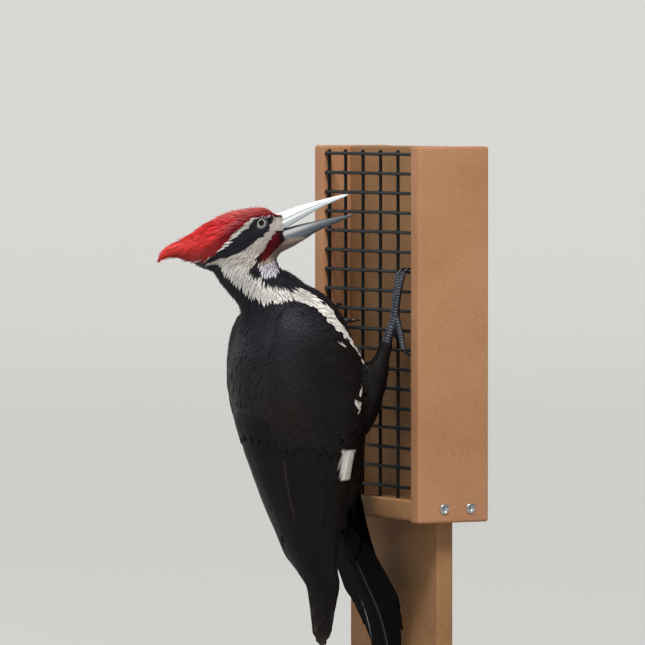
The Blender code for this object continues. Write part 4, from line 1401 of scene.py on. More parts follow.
class Bundle:
    """Closed vanes, gathered one by one and then joined to one piece."""

    def __init__(self) -> None:
        """Starts empty."""
        self.corners, self.faces, self.shades, self.tints, self.vanes, self.homes = ([] for _ in range(6))

    def add(self, top: Array, low: Array, tint: Array, across: Array, along: Array, home: Array) -> None:
        """Closes one vane and keeps it.

        Args:
            top: rows by columns of corners of its upper side.
            low: the same, below.
            tint: colours of the upper side's corners.
            across: the columns' places across the shaft, from -1 to 1.
            along: the rows' places along the shaft, from 0 to 1.
            home: the vane's place on the unwrap.
        """
        quads, corners, shade = closed_sheet(top, low)
        vane = np.stack(np.broadcast_arrays(0.5 + 0.5 * across[None], along[:, None]), axis=-1).reshape(-1, 2)
        vane = np.concatenate([vane, vane])
        self.faces.append(quads + sum(len(others) for others in self.corners))
        self.corners.append(corners)
        self.shades.append(shade)
        self.tints.append(np.concatenate([tint, tint]))
        self.vanes.append(vane)
        self.homes.append(home + (vane - 0.5) * VANE_SPAN)

    def join(self, name: str) -> Piece:
        """The piece, with every vane in it."""
        maps = {"OFBake": np.vstack(self.homes), "Vane": np.vstack(self.vanes)}
        return make_mesh(name, np.vstack(self.corners), [np.vstack(self.faces)], np.vstack(self.tints), maps,
                         np.vstack(self.shades))


class Sheet:
    """The outer face of a folded wing's solid, read as a distance from its axis over height and turn."""

    def __init__(self, node: str, levels: Array, turns: Array,
                 ray: Callable[[float, float], tuple[Array, Array]], reach: float) -> None:
        """Casts rays at the solid.

        Args:
            node: the solid's name.
            levels: heights above the floor, rising.
            turns: angles round the axis in degrees, rising.
            ray: the start on the axis and the outward way, for a height and a turn.
            reach: how far outside the rays start.
        """
        points, triangles = read_mesh(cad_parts[node])
        tree = BVHTree.FromPolygons(points.tolist(), triangles.tolist())
        depth = np.full((len(levels), len(turns)), np.nan)
        for i, level in enumerate(levels):
            for j, turn in enumerate(turns):
                start, way = ray(float(level), float(turn))
                hit = tree.ray_cast(Vector(start + way * reach), Vector(-way))
                if hit[0] is not None:
                    depth[i, j] = reach - hit[3]
        found = ~np.isnan(depth)
        rows = found.any(1)
        self.levels, self.turns, depth, found = levels[rows], turns, depth[rows], found[rows]
        self.first = np.array([turns[row][0] for row in found], float)
        self.last = np.array([turns[row][-1] for row in found], float)
        for i, row in enumerate(found):
            depth[i] = np.interp(turns, turns[row], depth[i][row])
        for _ in range(2):
            padded = np.pad(depth, 1, mode="edge")
            depth = (padded[1:-1, 1:-1] * 2 + padded[:-2, 1:-1] + padded[2:, 1:-1]) / 4
        self.depth = depth

    def edges(self, level: Array) -> tuple[Array, Array]:
        """The first and last turn that the solid covers at those heights."""
        return np.interp(level, self.levels, self.first), np.interp(level, self.levels, self.last)

    def out(self, level: Array, turn: Array) -> Array:
        """The outer face's distance from the axis, between the cast rays."""
        i = np.interp(level, self.levels, np.arange(len(self.levels)))
        j = np.interp(turn, self.turns, np.arange(len(self.turns)))
        i0, j0 = (np.minimum(k.astype(int), len(rows) - 2) for k, rows in ((i, self.levels), (j, self.turns)))
        u, v, d = i - i0, j - j0, self.depth
        return (d[i0, j0] * (1 - u) * (1 - v) + d[i0 + 1, j0] * u * (1 - v)
                + d[i0, j0 + 1] * (1 - u) * v + d[i0 + 1, j0 + 1] * u * v)


@dataclass
class Quill:
    """One flight feather or covert of a folded wing.

    root and tip are the height above the floor and the share of the wing's breadth, from the back edge.
    worn is how pale the vane's edges have bleached.
    """

    root: tuple[float, float]
    tip: tuple[float, float]
    half: float
    point: float
    worn: float = 0.06


@dataclass
class FoldedWing:
    """The closed wing: coverts over tertials over secondaries over primaries, all on one curved face.

    layer is how far each feather over another presses it in, up to pack in all; sunk is the depth of the
    outermost ones. Above the hem the roots are buried under the back's own feathers.
    """

    side: str
    layer: float = 0.16
    pack: float = 1.2
    sunk: float = 0.3
    curl: float = 0.25
    shaft: float = 0.28
    thickness: float = 0.24
    blunt: float = 0.4
    hem: tuple = (240.0, 254.0)
    buried: float = 4.0
    rows: int = 22
    columns: int = 15
    levels: tuple = (96.0, 322.0)
    turns: tuple = (-20.0, 160.0)
    ray_step: float = 2.0
    patch: tuple = (205.0, 224.5)
    patch_rim: float = 0.7
    axis: tuple = ((97, -35.5), (152, -44.5), (206, -52), (254, -53.5), (286, -58.8), (318.5, -68.8))
    tips: tuple = ((151, 0.2), (146, 0.12), (139, 0.1), (129, 0.14), (117, 0.2), (106, 0.3), (99, 0.44),
                   (97, 0.62), (101, 0.8), (114, 0.94))

    def centre(self, level: Array) -> Array:
        """Places on the axis that the wing curves round; the left tip is tucked under the right one."""
        level = np.asarray(level, float)
        tuck = np.interp(level, (118, 135, 141, 152), (1.0, 0.786, 0.357, 0.0)) * (self.side == "left")
        ahead = told(level, self.axis) + 5.0 * tuck
        return np.stack([ahead, -9.0 * tuck, level], axis=-1) + BIRD_AT

    def ray(self, level: float, turn: float) -> tuple[Array, Array]:
        """Start and way of a ray from the axis outwards."""
        angle = math.radians(turn)
        way = np.array((-math.cos(angle), SIDES[self.side] * math.sin(angle), 0.0))
        return self.centre(level), way

    def quills(self) -> list[Quill]:
        """All the feathers from the outermost layer inwards: three rows of coverts, then the long ones."""
        coverts = [Quill((262 - 1.5 * k, 0.1 + 0.078 * k), (231 - k, 0.1 + 0.078 * k), 6.2, 0.3)
                   for k in range(10)]
        coverts += [Quill((276 - 6 * k, 0.97 - 0.012 * k), (248 - 6 * k, 0.96 - 0.02 * k), 3.4, 0.6)
                    for k in range(3)]
        coverts += [Quill((258 - 2 * k, 0.84 + 0.025 * k), (231 - 1.5 * k, 0.83 + 0.027 * k), 4.0, 0.5)
                    for k in range(6)]
        tertials = [Quill((256 - 3 * k, 0.1 + 0.07 * k), (206 - 11 * k, 0.08 + 0.05 * k), 10.0, 0.3, 0.3)
                    for k in range(4)]
        secondaries = [Quill((250, 0.3 + 0.052 * k), (166 - 2.2 * k, 0.16 + 0.07 * k), 8.6, 0.2)
                       for k in range(7)]
        primaries = [Quill((240, 0.66 + 0.03 * k), tip, 7.6 - 0.2 * k, 0.05)
                     for k, tip in enumerate(self.tips)]
        return coverts + tertials + secondaries + primaries

    def build(self, markings: Markings, rng: Random) -> Piece:
        """Models every vane on the solid's outer face and joins them."""
        levels, turns = (np.arange(*ends, self.ray_step) for ends in (self.levels, self.turns))
        sheet = Sheet(f"wing_{self.side}", levels, turns, self.ray, 90.0)
        quills, bundle = self.quills(), Bundle()
        s = np.linspace(-1.0, 1.0, self.columns)
        for rank, quill in enumerate(quills):
            t, level, turn = self.grid(quill, sheet)
            above = sum((ease(level, over.tip[0] - 3.0, over.tip[0] + 6.0) for over in quills[:rank]), 0.0)
            depth = self.sunk + self.pack * (1.0 - np.exp(-self.layer * above / self.pack)) \
                + self.curl * np.abs(s[None]) ** 3 + self.buried * ease(level, *self.hem)
            distance = sheet.out(level.ravel(), turn.ravel()).reshape(level.shape) - depth
            angle = np.radians(turn)
            way = np.stack([-np.cos(angle), SIDES[self.side] * np.sin(angle), np.zeros_like(angle)], axis=-1)
            shaft = self.shaft * np.exp(-((s[None] / 0.09) ** 2)) * (1 - t[:, None] * 0.6)
            top, low = (self.centre(level) + way * (distance + rise)[..., None]
                        for rise in (shaft, -self.thickness))
            home = np.array((0.05 + 0.9 * quill.root[1], (320 - quill.root[0]) / 240))
            bundle.add(top, low, self.tint(markings, level, turn, s, t, quill, rng), s, t, home)
        return dress(bundle.join(f"wing_feathers_{self.side}"), FLIGHT, "black_plumage", f"wing_{self.side}")

    def grid(self, quill: Quill, sheet: Sheet) -> tuple[Array, Array, Array]:
        """Lays one vane out on the wing's face.

        Args:
            quill: the feather.
            sheet: the wing's outer face.
        Returns:
            Shares of the rows along the vane, and each corner's height and turn.
        """
        long = quill.tip[0] - quill.root[0]
        marks = [(end + rim - quill.root[0]) / long
                 for end in self.patch for rim in (-self.patch_rim, self.patch_rim)]
        t = np.sort(np.concatenate([1.0 - (1.0 - np.linspace(0.0, 1.0, self.rows)) ** 1.5,
                                    [mark for mark in marks if 0.02 < mark < 0.98]]))
        level = quill.root[0] + long * t
        share = quill.root[1] + (quill.tip[1] - quill.root[1]) * t**1.5
        taper = min(0.22 * (1 + quill.point), 8.0 / -long)
        outline = np.clip(0.35 + t * 3.0, 0, 1) * np.sqrt(1 - ease(t, 1 - taper, 1.0) ** (1.6 + quill.point))
        outline[-1] = self.blunt
        first, last = sheet.edges(level)
        edge = ((140.0, -18.0), (200.0, -8.0)) if self.side == "right" else ((190.0, 2.0), (220.0, -5.0))
        first = np.maximum(first - told(level, ((185.0, 22.0), (225.0, 45.0))), told(level, edge))
        turn = first + (last - first) * share
        half = np.degrees(quill.half * outline / np.maximum(sheet.out(level, turn), 4.0))
        inner = np.minimum(half * 1.15, np.maximum(turn - first + 1.0, 1.5))
        outer = np.minimum(half * 0.95, np.maximum(last - turn + 3.0, 1.5))
        s = np.linspace(-1.0, 1.0, self.columns)
        sag = 0.3 * quill.half * (1 - s[None] ** 2) * ease(t, 0.8, 1.0)[:, None]
        return t, level[:, None] - sag, turn[:, None] + s * np.where(s < 0, inner[:, None], outer[:, None])

    def tint(self, markings: Markings, level: Array, turn: Array, s: Array, t: Array, quill: Quill,
             rng: Random) -> Array:
        """Colours over one vane: brown-black, paler along the worn edges, white at the primaries' roots.

        Args:
            markings: the plumage's colours.
            level: height of each corner.
            turn: turn of each corner.
            s: the columns' places across the shaft.
            t: the rows' places along it.
            quill: the feather.
            rng: the random source.
        Returns:
            A colour for each corner.
        """
        colour = mix(markings.wing_black, srgb(92, 84, 78), ease(np.abs(s)[None], 0.8, 1.0) * quill.worn)
        tip = 0.3 * ease(t, 0.93, 1.0)[:, None] * (quill.point < 0.1)
        colour = mix(colour, srgb(84, 76, 70), tip)
        low, high = self.patch
        front = np.interp(level, self.patch, (102.0, 98.0)) + 0.5 * np.sin(level * 1.9)
        white = ease(level, low - 0.6, low + 0.6) * ease(-level, -high - 0.6, 0.6 - high)
        white = white * ease(turn, front - 0.8, front + 0.8) * (turn < front + 19.0)
        colour = mix(colour, markings.white, white)
        return (colour * rng.uniform(0.85, 1.15)).reshape(-1, 3)


@dataclass
class Tail:
    """The stiff tail: five pairs of pointed feathers, the middle pair longest and outermost, and its coverts.

    Each row tells length, the tip's reach to the side, half width, the root's reach, depth below the upper
    face and how far the root stands off from the rest of the feather. The light catches the shafts named by
    rank and side in lit, by that share.
    """

    rectrices: tuple = (
        (128.0, 4.5, 9.2, 4.4, 0.35, 0.0), (121.0, 11.0, 8.8, 7.4, 0.8, 0.0),
        (109.0, 18.5, 8.4, 10.4, 1.25, 0.0), (95.0, 26.0, 8.2, 13.4, 1.7, 0.0),
        (80.0, 32.0, 8.0, 16.4, 2.15, 0.0))
    upper_coverts: tuple = tuple((46.0 - 4 * k, 3.5 + 5 * k, 7.5, 2.0 + 4 * k, -0.5 + 0.3 * k, -1.5)
                                 for k in range(4))
    under_coverts: tuple = tuple((66.0 - 5 * k, 3.5 + 6 * k, 8.0, 2.5 + 5 * k, 4.6 - 0.5 * k, 14.0)
                                 for k in range(4))
    line: tuple = ((-34, 190), (-19, 160), (-4.5, 131), (3.5, 114), (9, 94), (12.6, 66))
    lit: dict = field(default_factory=lambda: {(0, SIDES["right"]): 0.1, (2, SIDES["left"]): 1.0})
    rows: int = 26
    columns: int = 13
    thickness: float = 0.5

    def build(self, rng: Random) -> Piece:
        """Models each vane along the tail's line and joins them."""
        path = spline(self.line, 200)
        travelled = run(path)
        slope = unit(np.gradient(path, axis=0))
        t = 1 - (1 - np.linspace(0.0, 1.0, self.rows)) ** 1.3
        s = np.linspace(-1.0, 1.0, self.columns)
        s = np.sign(s) * np.abs(s) ** 1.6
        bundle = Bundle()
        for rank, (length, reach, half, root, deep, stand) in enumerate(
                self.rectrices + self.upper_coverts + self.under_coverts):
            along = t * (length - 0.6)
            at, tilt = (np.stack([np.interp(along, travelled, curve[:, k]) for k in range(2)], axis=1)
                        for curve in (path, slope))
            if rank < len(self.rectrices):
                outline = np.clip(0.6 + t * 3.0, 0, 1) * (1.0 - ease(t, 0.86, 1.0) * (0.6 + 0.06 * rank))
            else:
                outline = np.clip(0.5 + t * 3.0, 0, 1) * np.sqrt(1.0 - ease(t, 0.7, 1.0) ** 1.8 * 0.95)
            shaft = 0.3 * np.exp(-((s[None] / 0.1) ** 2)) * (1 - 0.7 * t[:, None])
            notch = 1.2 * np.abs(s[None]) * ease(t, 0.9, 1.0)[:, None]
            for sign in SIDES.values():
                web = s * np.where(s > 0, 0.8, 1.15)
                y = sign * (root + (reach - root) * t[:, None] + web[None] * half * outline[:, None])
                depth = deep + (0.1 if sign > 0 else 0.0) + 0.35 * np.abs(s[None]) ** 2 \
                    + stand * (1 - t[:, None]) ** 1.6 * (1 - 0.25 * s[None] ** 2)
                top, low = (self.lift(at, tilt, y, depth + drop, notch) for drop in (-shaft, self.thickness))
                pale = np.exp(-((s[None] / 0.09) ** 2)) * ease(-t, -0.99, -0.8)[:, None]
                pale = pale * self.lit.get((rank, sign), 0.0)
                colour = mix(srgb(9, 8, 9), srgb(236, 233, 231), pale)
                home = np.array((0.5 + sign * (0.03 + 0.035 * rank), 0.5))
                bundle.add(top, low, colour.reshape(-1, 3) * rng.uniform(0.9, 1.15), s, t, home)
        return dress(bundle.join("tail_feathers"), STIFF, "black_plumage", "tail")

    def lift(self, at: Array, tilt: Array, y: Array, depth: Array, notch: Array) -> Array:
        """Corners of one grid, set below the tail's upper face by a depth.

        Args:
            at: the rows' places on the tail's line.
            tilt: the line's ways there.
            y: each corner's place to the side.
            depth: how far it lies below the face.
            notch: how far it is set back along the line.
        Returns:
            The corners.
        """
        shift = depth - 1.2
        x = at[:, None, 0] - shift * tilt[:, None, 1] + tilt[:, None, 0] * -notch
        z = at[:, None, 1] + shift * tilt[:, None, 0] + tilt[:, None, 1] * -notch
        return np.stack([x, y, z], axis=-1) + BIRD_AT


# ---- head's hard parts ----


def loft(rings: Array) -> tuple[Array, list[Array]]:
    """Closes a stack of rings into one body with a fan at each end.

    Args:
        rings: rings by corners by three, each ring counter-clockwise seen from its far end.
    Returns:
        The corners and the face arrays.
    """
    count, sides = rings.shape[:2]
    points = np.vstack([rings.reshape(-1, 3), rings[0].mean(0), rings[-1].mean(0)])
    ring, after = np.arange(sides), (np.arange(sides) + 1) % sides
    quads = np.vstack([np.stack([b + ring, b + after, b + sides + after, b + sides + ring], 1)
                       for b in range(0, (count - 1) * sides, sides)])
    first, last, end = count * sides, count * sides + 1, (count - 1) * sides
    fans = np.vstack([np.stack([np.full(sides, first), after, ring], 1),
                      np.stack([np.full(sides, last), end + ring, end + after], 1)])
    return points, [quads, fans]


def turned(name: str, rings: Sequence[Array], tints: Sequence[Array]) -> Piece:
    """Makes a closed piece from rings in the head frame and the colours round each of them."""
    points, faces = loft(np.array(rings))
    colours = np.vstack([*tints, tints[0][:1], tints[-1][:1]])
    return outward(make_mesh(name, from_head(points), faces, colours))


def outward(obj: Piece) -> Piece:
    """Turns a closed piece's faces outwards."""
    work = bmesh.new()
    work.from_mesh(obj.data)
    bmesh.ops.recalc_face_normals(work, faces=work.faces)
    work.to_mesh(obj.data)
    work.free()
    return obj


@dataclass
class Bill:
    """One half of the chisel bill, from rows that run from the face to the tip in the head frame."""

    name: str
    rows: tuple
    upper: bool
    stations: int = 56
    sides: int = 72

    def build(self) -> Piece:
        """Lofts the horn with its ridge, its side groove and its cutting edge."""
        turn = circle(self.sides)
        dome = np.sin(turn)
        rings, tints = [], []
        for index, (x, ridge, edge, half) in enumerate(spline(self.rows, self.stations)):
            share = index / (self.stations - 1)
            rise = np.where(dome > 0, dome**0.92, dome * 0.06)
            wide = half * np.cos(turn) * np.where(dome > 0, 1 - 0.35 * np.clip(dome, 0, 1) ** 1.5, 0.9)
            groove = np.exp(-(((dome - 0.5) / 0.06) ** 2)) + 0.7 * np.exp(-(((dome - 0.2) / 0.05) ** 2))
            wide = wide * (1 - 0.07 * groove * ease(-share, -0.9, -0.6))
            rings.append(np.stack([np.full(self.sides, x), wide, edge + (ridge - edge) * rise], axis=1))
            tints.append(self.tint(share, dome, groove))
        return dress(turned(f"{self.name}_horn", rings, tints), BILL, "bill_horn", self.name)

    def tint(self, share: float, dome: Array, groove: Array) -> Array:
        """Colours round one ring: grey horn above that a painted highlight turns near white along its top,
        with painted shade in its side grooves and a painted shadow under its cutting edge; slate below with a
        pale edge, darker towards its bottom, with painted shade on its inner face; both darker towards the
        tip.
        """
        dark = srgb(52, 56, 64)
        if self.upper:
            # painted highlight: the upper half's grey horn turns near white along its top, as lit from above
            colour = mix(srgb(186, 194, 200), srgb(232, 234, 232), ease(dome, 0.1, 0.6))
            # painted shade in the side grooves
            colour = mix(colour, dark, groove * ease(-share, -0.85, -0.5) * 0.75)
            # painted shadow under the cutting edge and on the underside
            colour = mix(colour, dark, ease(-dome, -0.1, -0.02) * 0.9)
        else:
            rim = ease(-dome, -0.26, -0.12) * ease(dome, 0.0, 0.06) * ease(-share, -0.7, -0.25)
            colour = mix(srgb(122, 132, 142), srgb(92, 100, 110), ease(dome, 0.4, 0.9))
            colour = mix(colour, srgb(228, 228, 224), rim)
            # painted shade on the lower half's inner face, between the halves
            colour = mix(colour, dark, ease(-dome, 0.0, 0.3) * 0.9)
        return mix(colour, dark, ease(share, 0.86, 1.0) * 0.5)


@dataclass
class Eye:
    """An eyeball in its socket, with a painted iris, and the bare ring of lids round it."""

    side: str
    centre: tuple = (1.8, 8.7, 1.2)
    radius: float = 4.7
    iris: float = 3.35
    pupil: float = 2.0
    gaze: tuple = (0.1, 1.0, 0.05)
    lid: tuple = ((3.2, 3.2), (3.35, 3.6), (3.8, 3.68), (4.5, 3.2), (5.2, 2.3), (5.9, 1.0), (6.2, -0.5),
                  (5.4, -0.8), (4.6, 1.2), (3.9, 2.4))

    def axes(self) -> tuple[Array, Array, Array, Array]:
        """Centre, gaze, forward and upward ways in the head frame."""
        sign = SIDES[self.side]
        centre = np.array(self.centre) * (1, sign, 1)
        gaze = unit(np.array(self.gaze) * (1, sign, 1))
        ahead = unit(np.array((1.0, 0.0, 0.0)) - gaze * gaze[0])
        return centre, gaze, ahead, np.cross(gaze, ahead)

    def ball(self, rings: int = 40, sides: int = 48) -> Piece:
        """The eyeball, with a clear bulge over the iris."""
        centre, gaze, ahead, up = self.axes()
        tilt = np.concatenate([[0.02], np.linspace(0.06, math.pi - 0.02, rings - 1)])
        turn = circle(sides)
        streak = 0.85 + 0.15 * np.sin(turn * 23) * np.sin(turn * 7 + 1)
        rows, tints = [], []
        for angle in tilt:
            out = self.radius * math.sin(angle)
            bulge = 0.35 * math.exp(-((angle / 0.6) ** 2))
            rows.append(centre + gaze * (self.radius * math.cos(angle) + bulge - 0.2)
                        + out * 0.98 * (np.cos(turn)[:, None] * ahead + np.sin(turn)[:, None] * up))
            colour = np.full((sides, 3), srgb(12, 10, 10))
            if self.pupil < out < self.iris and angle < 1.5:
                share = (out - self.pupil) / (self.iris - self.pupil)
                pale = mix(srgb(150, 146, 136), srgb(230, 226, 208), ease(share, 0.1, 0.5))
                colour = pale * streak[:, None] * (1 - 0.4 * ease(share, 0.85, 1.0))
            tints.append(colour)
        return dress(turned(f"eyeball_{self.side}", rows, tints), EYE, "eye", f"eye_{self.side}")

    def lids(self, sides: int = 64) -> Piece:
        """The ring of bare creased skin that holds the eyeball."""
        centre, gaze, ahead, up = self.axes()
        turn = circle(sides)
        rings = []
        for out, rise in spline(self.lid, 30):
            crease = 0.08 * np.sin(turn * 19) * (3.6 < out < 5.8)
            wide = out * (1 + 0.05 * np.cos(2 * turn)) + crease
            rings.append(centre + gaze * (rise + crease)[:, None]
                         + wide[:, None] * (np.cos(turn)[:, None] * ahead + np.sin(turn)[:, None] * up))
        index = np.arange(len(rings) * sides).reshape(-1, sides)
        across, along = np.roll(index, -1, axis=0), np.roll(index, -1, axis=1)
        quads = np.stack([index, along, np.roll(across, -1, axis=1), across], axis=-1).reshape(-1, 4)
        share = np.repeat(np.linspace(0, 1, len(rings)), sides)
        tints = mix(srgb(104, 108, 118), srgb(50, 52, 60), ease(share, 0.15, 0.45))
        obj = outward(make_mesh(f"lids_{self.side}", from_head(np.vstack(rings)), [quads], tints))
        return dress(obj, LID, "black_plumage")


# ---- feet ----


@dataclass
class Foot:
    """Shank, toes and claws on one side: smooth skin with rows of scutes laid over it.

    ankle and joint are the shank's ends; toes give each toe's reach outwards, height and radius, and the
    girths give the radius along the shank, and along a toe as a share of its own.
    """

    side: str
    ankle: tuple
    joint: tuple
    toes: dict
    girth: tuple = ((0, 3.3), (0.3, 2.9), (0.65, 2.8), (1, 2.9))
    toe_girth: tuple = ((0, 1.3), (0.3, 1.1), (1, 0.85))
    voxel: float = 0.45

    def build(self) -> None:
        """Builds the leg's skin, its scutes and its claws."""
        nodes = [f"{part}_{self.side}" for part in ("foot", "shank")]
        leg, _ = Surface.joined([read_mesh(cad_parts[node]) for node in nodes])
        form = leg.remeshed(0.12, self.voxel, 5)
        # painted light: the leg skin is lighter on the side that faces away from the perch, towards the key
        # light and the camera, and darker on the side against the perch
        tints = np.broadcast_to(srgb(38, 43, 49), form.points.shape) * (0.8 + 0.3 * (form.normals[:, :1] < 0))
        skin = make_mesh(f"leg_skin_{self.side}", form.points - form.normals * 0.15, [form.triangles], tints)
        dress(skin, LEG, "leg_scale", *nodes)
        self.scutes()
        for name in self.toes:
            self.claw(name)

    def lines(self) -> list[tuple[Array, Array]]:
        """The middle line of the shank and of each toe, with the radius along it."""
        out = SIDES[self.side]
        ankle, joint = (np.array((x, out * y, z)) for x, y, z in (self.ankle, self.joint))
        share = np.linspace(0.12, 1.0, 14)[:, None]
        found = [(ankle + (joint - ankle) * share, told(share[:, 0], self.girth))]
        for y, z, radius in self.toes.values():
            end = np.array((-5.0, out * y, z))
            knuckle = (joint + end) / 2 + np.array((-1.0 if z > joint[2] else 0.8, 0.0, 0.0))
            path = spline((joint, knuckle, end), 22)[1:]
            found.append((path, radius * told(np.linspace(0, 1, len(path)), self.toe_girth)))
        return found

    def scutes(self) -> Piece:
        """Runs the rows of scutes along the shank and the toes."""
        lines = self.lines()
        host = bpy.data.meshes.new("scute_lines")
        edges, base = [], 0
        for path, _ in lines:
            edges += [(base + k, base + k + 1) for k in range(len(path) - 1)]
            base += len(path)
        host.from_pydata(((np.vstack([path for path, _ in lines]) + BIRD_AT) * MM).tolist(), edges, [])
        girth = host.attributes.new("girth", "FLOAT", "POINT")
        girth.data.foreach_set("value", np.concatenate([radii for _, radii in lines]) * MM)
        obj = run_tree(f"scutes_{self.side}", SCUTES, {"Material": SCUTE.material()}, host)
        return dress(obj, SCUTE, "leg_scale")

    def claw(self, toe: str) -> Piece:
        """Rounds one claw's solid."""
        node = f"claw_{self.side}_{toe}"
        points, triangles = read_mesh(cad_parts[node])
        obj = make_mesh(f"{node}_horn", points, [triangles])
        rounding = obj.modifiers.new("Round", "SUBSURF")
        rounding.levels = rounding.render_levels = 2
        return dress(obj, CLAW, "claw_horn", node)


# ---- perch and stand ----


@dataclass
class Board:
    """One board of the perch, planed, with eased edges."""

    node: str
    finish: Grained
    ease: float = 1.8

    def build(self) -> Piece:
        """Makes the board from its solid's box."""
        low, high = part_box(self.node)
        work = bmesh.new()
        bmesh.ops.create_cube(work, size=1.0)
        for corner in work.verts:
            corner.co = Vector([low[k] if corner.co[k] < 0 else high[k] for k in range(3)])
        bmesh.ops.bevel(work, geom=list(work.edges), offset=self.ease * MM, segments=4, profile=0.5,
                        affect="EDGES")
        mesh = bpy.data.meshes.new(f"{self.node}_board")
        work.to_mesh(mesh)
        work.free()
        mesh.shade_smooth()
        return dress(linked(mesh.name, mesh), self.finish, "composite_board", self.node)


@dataclass
class WireFace:
    """The welded wire front: level wires behind, upright ones in front, blobs of coating where they cross."""

    lowest: float = 199.6
    pitch: float = 12.72
    count: int = 18
    columns: tuple = (-58.75, -36.12, -12.04, 12.04, 36.12, 58.75)
    level_at: float = 19.05
    upright_at: float = 20.95
    radius: float = 1.1
    blob: float = 1.7

    def build(self) -> Piece:
        """Welds the wires over the width and height of their solid."""
        low, high = (np.array(corner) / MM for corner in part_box("perch_wires"))
        rows = self.lowest + self.pitch * np.arange(self.count)
        points = [(self.level_at, y, z) for z in rows for y in (low[1], high[1])]
        points += [(self.upright_at, y, z) for y in self.columns for z in (low[2], high[2])]
        edges = [(k, k + 1) for k in range(0, len(points), 2)]
        points += [((self.level_at + self.upright_at) / 2, y, z) for y in self.columns for z in rows]
        host = bpy.data.meshes.new("wire_lines")
        host.from_pydata((np.array(points) * MM).tolist(), edges, [])
        values = {"Wire": self.radius * MM, "Blob": self.blob * MM, "Material": WIRE.material()}
        return dress(run_tree("welded_wires", GRID, values, host), WIRE, "coated_wire", "perch_wires")


@dataclass
class Screw:
    """A cross-recessed screw head on the outer face of a side board."""

    node: str
    turn: float

    def build(self) -> Piece:
        """Sets the head on its solid's seat."""
        low, high = (np.array(corner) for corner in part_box(self.node))
        middle, out = (low + high) / 2, SIDES["left" if "left" in self.node else "right"]
        host = bpy.data.meshes.new("screw_seat")
        host.from_pydata([(middle[0], low[1] if out > 0 else high[1], middle[2])], [], [])
        way = host.attributes.new("way", "FLOAT_VECTOR", "POINT")
        way.data.foreach_set("vector", (0.0, out, 0.0))
        head = run_tree(f"{self.node}_head", HEADS, {"Turn": self.turn, "Material": STEEL.material()}, host)
        return dress(head, STEEL, "steel", self.node)


class Studio:
    """Floor, soft lights and the camera."""

    def build(self) -> None:
        """Sets the stage."""
        self.floor()
        self.lights()
        self.camera()

    def floor(self) -> None:
        """A round pale floor that sweeps up to a wall on every side."""
        bend, sides = 3500.0, 128
        profile = [(0.02, 0.0), (2000.0, 0.0), (4000.0, 0.0)]
        profile += [(6000 + bend * math.sin(angle), bend * (1 - math.cos(angle)))
                    for angle in np.linspace(0.0, np.pi / 2, 24)]
        profile += [(9500.0, 5200.0)]
        turn = circle(sides)
        rings = [np.stack([out * np.cos(turn), out * np.sin(turn), np.full(sides, rise)], axis=1)
                 for out, rise in profile]
        index = np.arange(len(profile) * sides).reshape(-1, sides)
        after = np.roll(index, -1, axis=1)
        quads = np.stack([index[:-1], index[1:], after[1:], after[:-1]], axis=-1).reshape(-1, 4)
        obj = make_mesh("studio_floor", np.vstack(rings), [quads])
        material = bpy.data.materials.new("studio_paper")
        material.use_nodes = True
        shader = material.node_tree.nodes["Principled BSDF"]
        paper = {"Base Color": (0.5, 0.5, 0.49, 1), "Roughness": 0.95, "Specular IOR Level": 0.1}
        for title, value in paper.items():
            shader.inputs[title].default_value = value
        obj.data.materials.append(material)

    def lights(self) -> None:
        """A high soft key, pale air all round, and a cool light from behind."""
        bpy.context.scene.view_settings.view_transform = "Standard"
        world = bpy.data.worlds.new("studio_air")
        world.use_nodes = True
        air = world.node_tree.nodes["Background"].inputs
        air["Color"].default_value = (0.9, 0.95, 1.0, 1)
        air["Strength"].default_value = 0.5
        bpy.context.scene.world = world
        sun = bpy.data.lights.new("key", "SUN")
        sun.energy, sun.angle, sun.color = 2.9, math.radians(14.0), (1.0, 0.97, 0.93)
        self.stand("key", sun, (0.0, 0.0, 0.0), (0.28, 0.5, -0.9))
        for name, place, size, power, colour in (
            ("fill", (-1.9, -1.2, 0.9), 0.9, 5.0, (0.92, 0.96, 1.0)),
            ("rim", (-0.9, 1.6, 1.1), 0.7, 4.0, (0.9, 0.95, 1.0)),
        ):
            light = bpy.data.lights.new(name, "AREA")
            light.shape, light.size, light.energy, light.color = "DISK", size, power, colour
            self.stand(name, light, place, (-0.03, 0.0, 0.30))

    def camera(self) -> None:
        """The camera, a long lens behind the bird's right shoulder."""
        camera = bpy.data.cameras.new("camera")
        camera.lens, camera.sensor_width = 368.2, 36.0
        camera.clip_end = 200.0
        place, aim = (-2.034, -3.800, 0.454), (-0.0077, 0.0147, 0.3053)
        bpy.context.scene.camera = self.stand("camera", camera, place, aim)

    @staticmethod
    def stand(name: str, data: bpy.types.ID, place: Sequence[float], aim: Sequence[float]) -> Piece:
        """Stands a light or the camera at a place, turned towards another."""
        obj = linked(name, data)
        obj.location = place
        obj.rotation_euler = (Vector(aim) - obj.location).to_track_quat("-Z", "Y").to_euler()
        return obj


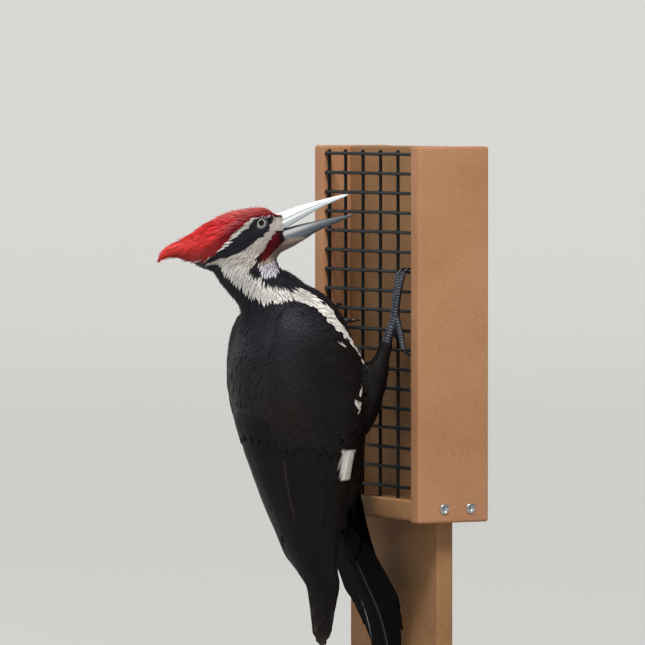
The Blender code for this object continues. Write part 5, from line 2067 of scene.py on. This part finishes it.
def build_bird() -> None:
    """Builds skin, plumage, bill, eyes and feet."""
    rng = np.random.default_rng(SEED)
    markings, spine = Markings(), Spine()
    body = Body(markings, spine, rng)
    body.skin()
    vane, tuft, strand = Template(5, 3, rounded), Template(2, 3, tapered), Template(6, 3, hairlike)
    for tufts in (
        Coat("face_coat", Tract.FACE, tuft, DOWNY, "black_plumage", thickness=0.12, stray=6.0, wisps=0.05,
             root_shade=0.9, droop=0.05),
        Coat("crown_coat", Tract.CROWN, strand, HAIRY, "red_crest", thickness=0.16, lift=0.4, stray=6.0,
             wisps=0.12, variety=0.1, nodes=("crest",)),
        Coat("neck_coat", Tract.NECK, tuft, DOWNY, "white_plumage", thickness=0.12, stray=7.0, wisps=0.06,
             root_shade=0.92, droop=0.05),
        Coat("back_coat", Tract.BACK, vane, CONTOUR, "black_plumage", thickness=0.08, round=0.12, droop=0.02,
             variety=0.04, roll=0.04, root_shade=0.95, settle=0.8, ragged=0.15),
        Coat("breast_coat", Tract.BREAST, vane, CONTOUR, "black_plumage", thickness=0.1, stray=7.0, round=0.2,
             droop=0.04, roll=0.06, root_shade=0.85),
        Coat("thigh_coat", Tract.THIGH, vane, CONTOUR, "black_plumage", thickness=0.16, stray=8.0),
    ):
        tufts.build(body, rng)
    for side in SIDES:
        FoldedWing(side).build(markings, rng)
    Tail().build(rng)
    Bill("upper_bill", UPPER_BILL, True).build()
    Bill("lower_bill", LOWER_BILL, False).build()
    for side in SIDES:
        eye = Eye(side)
        eye.ball()
        eye.lids()
        Foot(side, *FEET[side]).build()


def build_perch() -> None:
    """Finishes the boards, wires, screws and the stand."""
    for node in ("perch_side_left", "perch_side_right"):
        Board(node, BOARD).build()
    for node in ("perch_tail_prop", "perch_rail_front", "perch_rail_back", "perch_rail_top"):
        Board(node, DARK_BOARD).build()
    WireFace().build()
    for index, node in enumerate(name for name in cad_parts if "screw" in name):
        Screw(node, 0.4 + 0.5 * index).build()
    for name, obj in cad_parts.items():
        if name.startswith("stand_"):
            coat(obj, WOOD if name == "stand_base" else STEEL)


def main() -> None:
    """Builds every piece in order, then the studio."""
    logging.basicConfig(level=logging.INFO, format="%(message)s")
    build_bird()
    build_perch()
    Studio().build()


if __name__ == "__main__":
    main()
